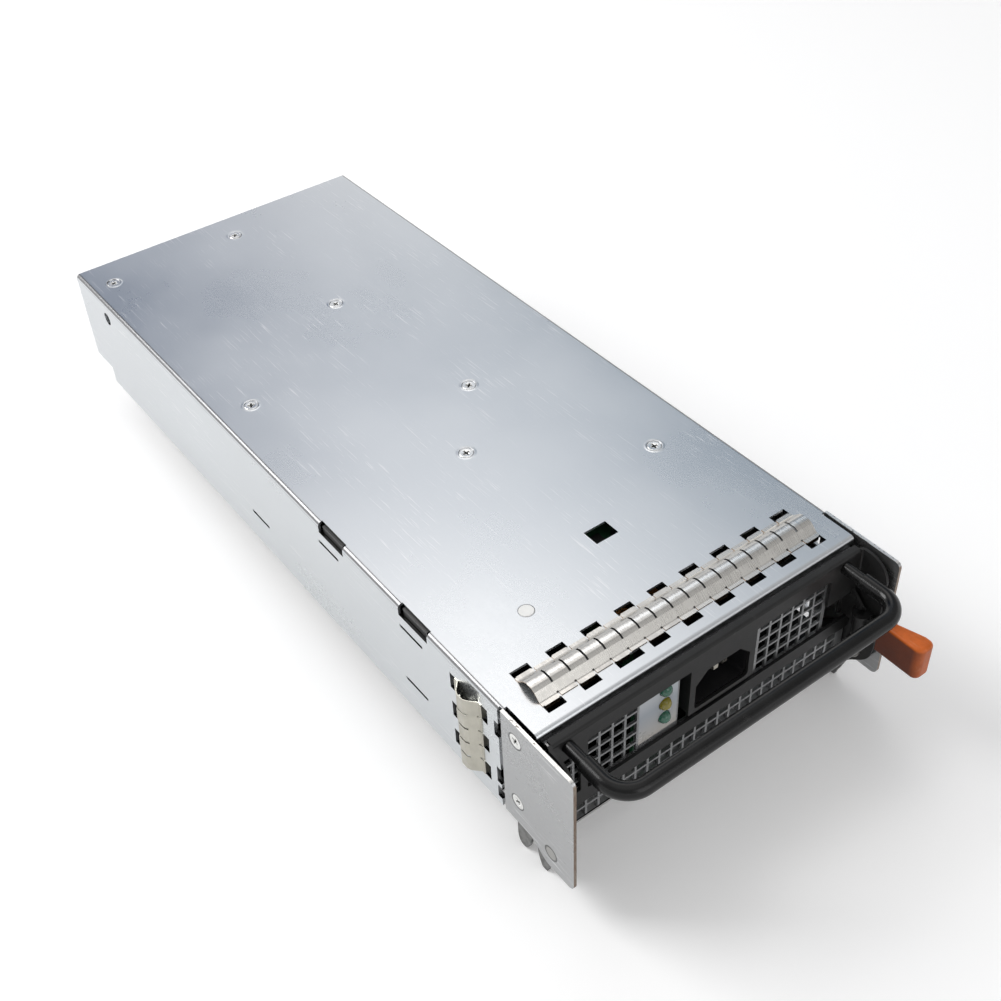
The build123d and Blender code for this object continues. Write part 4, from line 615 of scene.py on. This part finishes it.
# Soft round patches of the room that the lid mirrors: where it lies, and what it adds
patches = {
    "high_card": ((0.325, 0.515, 0.793), (2.0, 1.9, 1.82)),
    "streak": ((0.375, 0.665, 0.645), (0.55, 0.49, 0.41)),
    "far_card": ((0.415, 0.774, 0.479), (1.75, 1.6, 1.42)),
    "left_gap": ((0.22, 0.845, 0.488), (-0.9, -0.82, -0.68)),
    "right_gap": ((0.60, 0.47, 0.648), (-0.36, -0.28, -0.2)),
    "middle_gap": ((0.415, 0.70, 0.582), (-1.72, -1.52, -1.27)),
}
patch_tightness = 45.0
shade = ramp.outputs[0]
for centre, added in patches.values():
    facing = sky.nodes.new("ShaderNodeVectorMath")
    facing.operation = "DOT_PRODUCT"
    sky.links.new(direction.outputs["Generated"], facing.inputs[0])
    facing.inputs[1].default_value = centre
    falling = sky.nodes.new("ShaderNodeMath")
    falling.operation = "MULTIPLY_ADD"
    sky.links.new(facing.outputs["Value"], falling.inputs[0])
    falling.inputs[1].default_value = patch_tightness
    falling.inputs[2].default_value = -patch_tightness
    soft = sky.nodes.new("ShaderNodeMath")
    soft.operation = "EXPONENT"
    sky.links.new(falling.outputs[0], soft.inputs[0])
    patch = sky.nodes.new("ShaderNodeVectorMath")
    patch.operation = "SCALE"
    patch.inputs[0].default_value = added
    sky.links.new(soft.outputs[0], patch.inputs["Scale"])
    total = sky.nodes.new("ShaderNodeVectorMath")
    total.operation = "ADD"
    sky.links.new(shade, total.inputs[0])
    sky.links.new(patch.outputs[0], total.inputs[1])
    shade = total.outputs[0]
seen_sky = sky.nodes.new("ShaderNodeLightPath")
backdrop = sky.nodes.new("ShaderNodeMix")
backdrop.data_type = "RGBA"
backdrop.inputs[7].default_value = (1, 1, 1, 1)
sky.links.new(seen_sky.outputs["Is Camera Ray"], backdrop.inputs[0])
sky.links.new(shade, backdrop.inputs[6])
sky.links.new(backdrop.outputs[2], background.inputs["Color"])
background.inputs["Strength"].default_value = 1.0


def lamp(name, place, aim, power):
    """A soft lamp, one metre square, aimed at a point."""
    data = bpy.data.lights.new(name, "AREA")
    data.size = 1.0
    data.energy = power
    lit = bpy.data.objects.new(name, data)
    bpy.context.scene.collection.objects.link(lit)
    lit.location = place
    lit.rotation_mode = "QUATERNION"
    lit.rotation_quaternion = (Vector(aim) - Vector(place)).to_track_quat("-Z", "Y")


lamp("key", (-0.9, 1.3, 1.3), (0, 0.2, 0), 22)
lamp("front_fill", (0.2, -1.4, 0.9), (0, 0, 0), 4)

# Camera at the photograph's place
right = (0.800633, -0.597860, -0.039379)
down = (-0.422789, -0.517169, -0.744167)
forward = (0.424543, 0.612454, -0.666831)
eye = (-0.220722, -0.203933, 0.375794)
focal_pixels = 1329.4
picture_width = 1001
rows = [(right[i], -down[i], -forward[i], eye[i]) for i in range(3)]
lens = bpy.data.cameras.new("camera")
lens.sensor_width = 36.0
lens.lens = lens.sensor_width * focal_pixels / picture_width
camera = bpy.data.objects.new("camera", lens)
bpy.context.scene.collection.objects.link(camera)
camera.matrix_world = Matrix((*rows, (0, 0, 0, 1)))
bpy.context.scene.camera = camera
bpy.context.scene.view_settings.view_transform = "Standard"
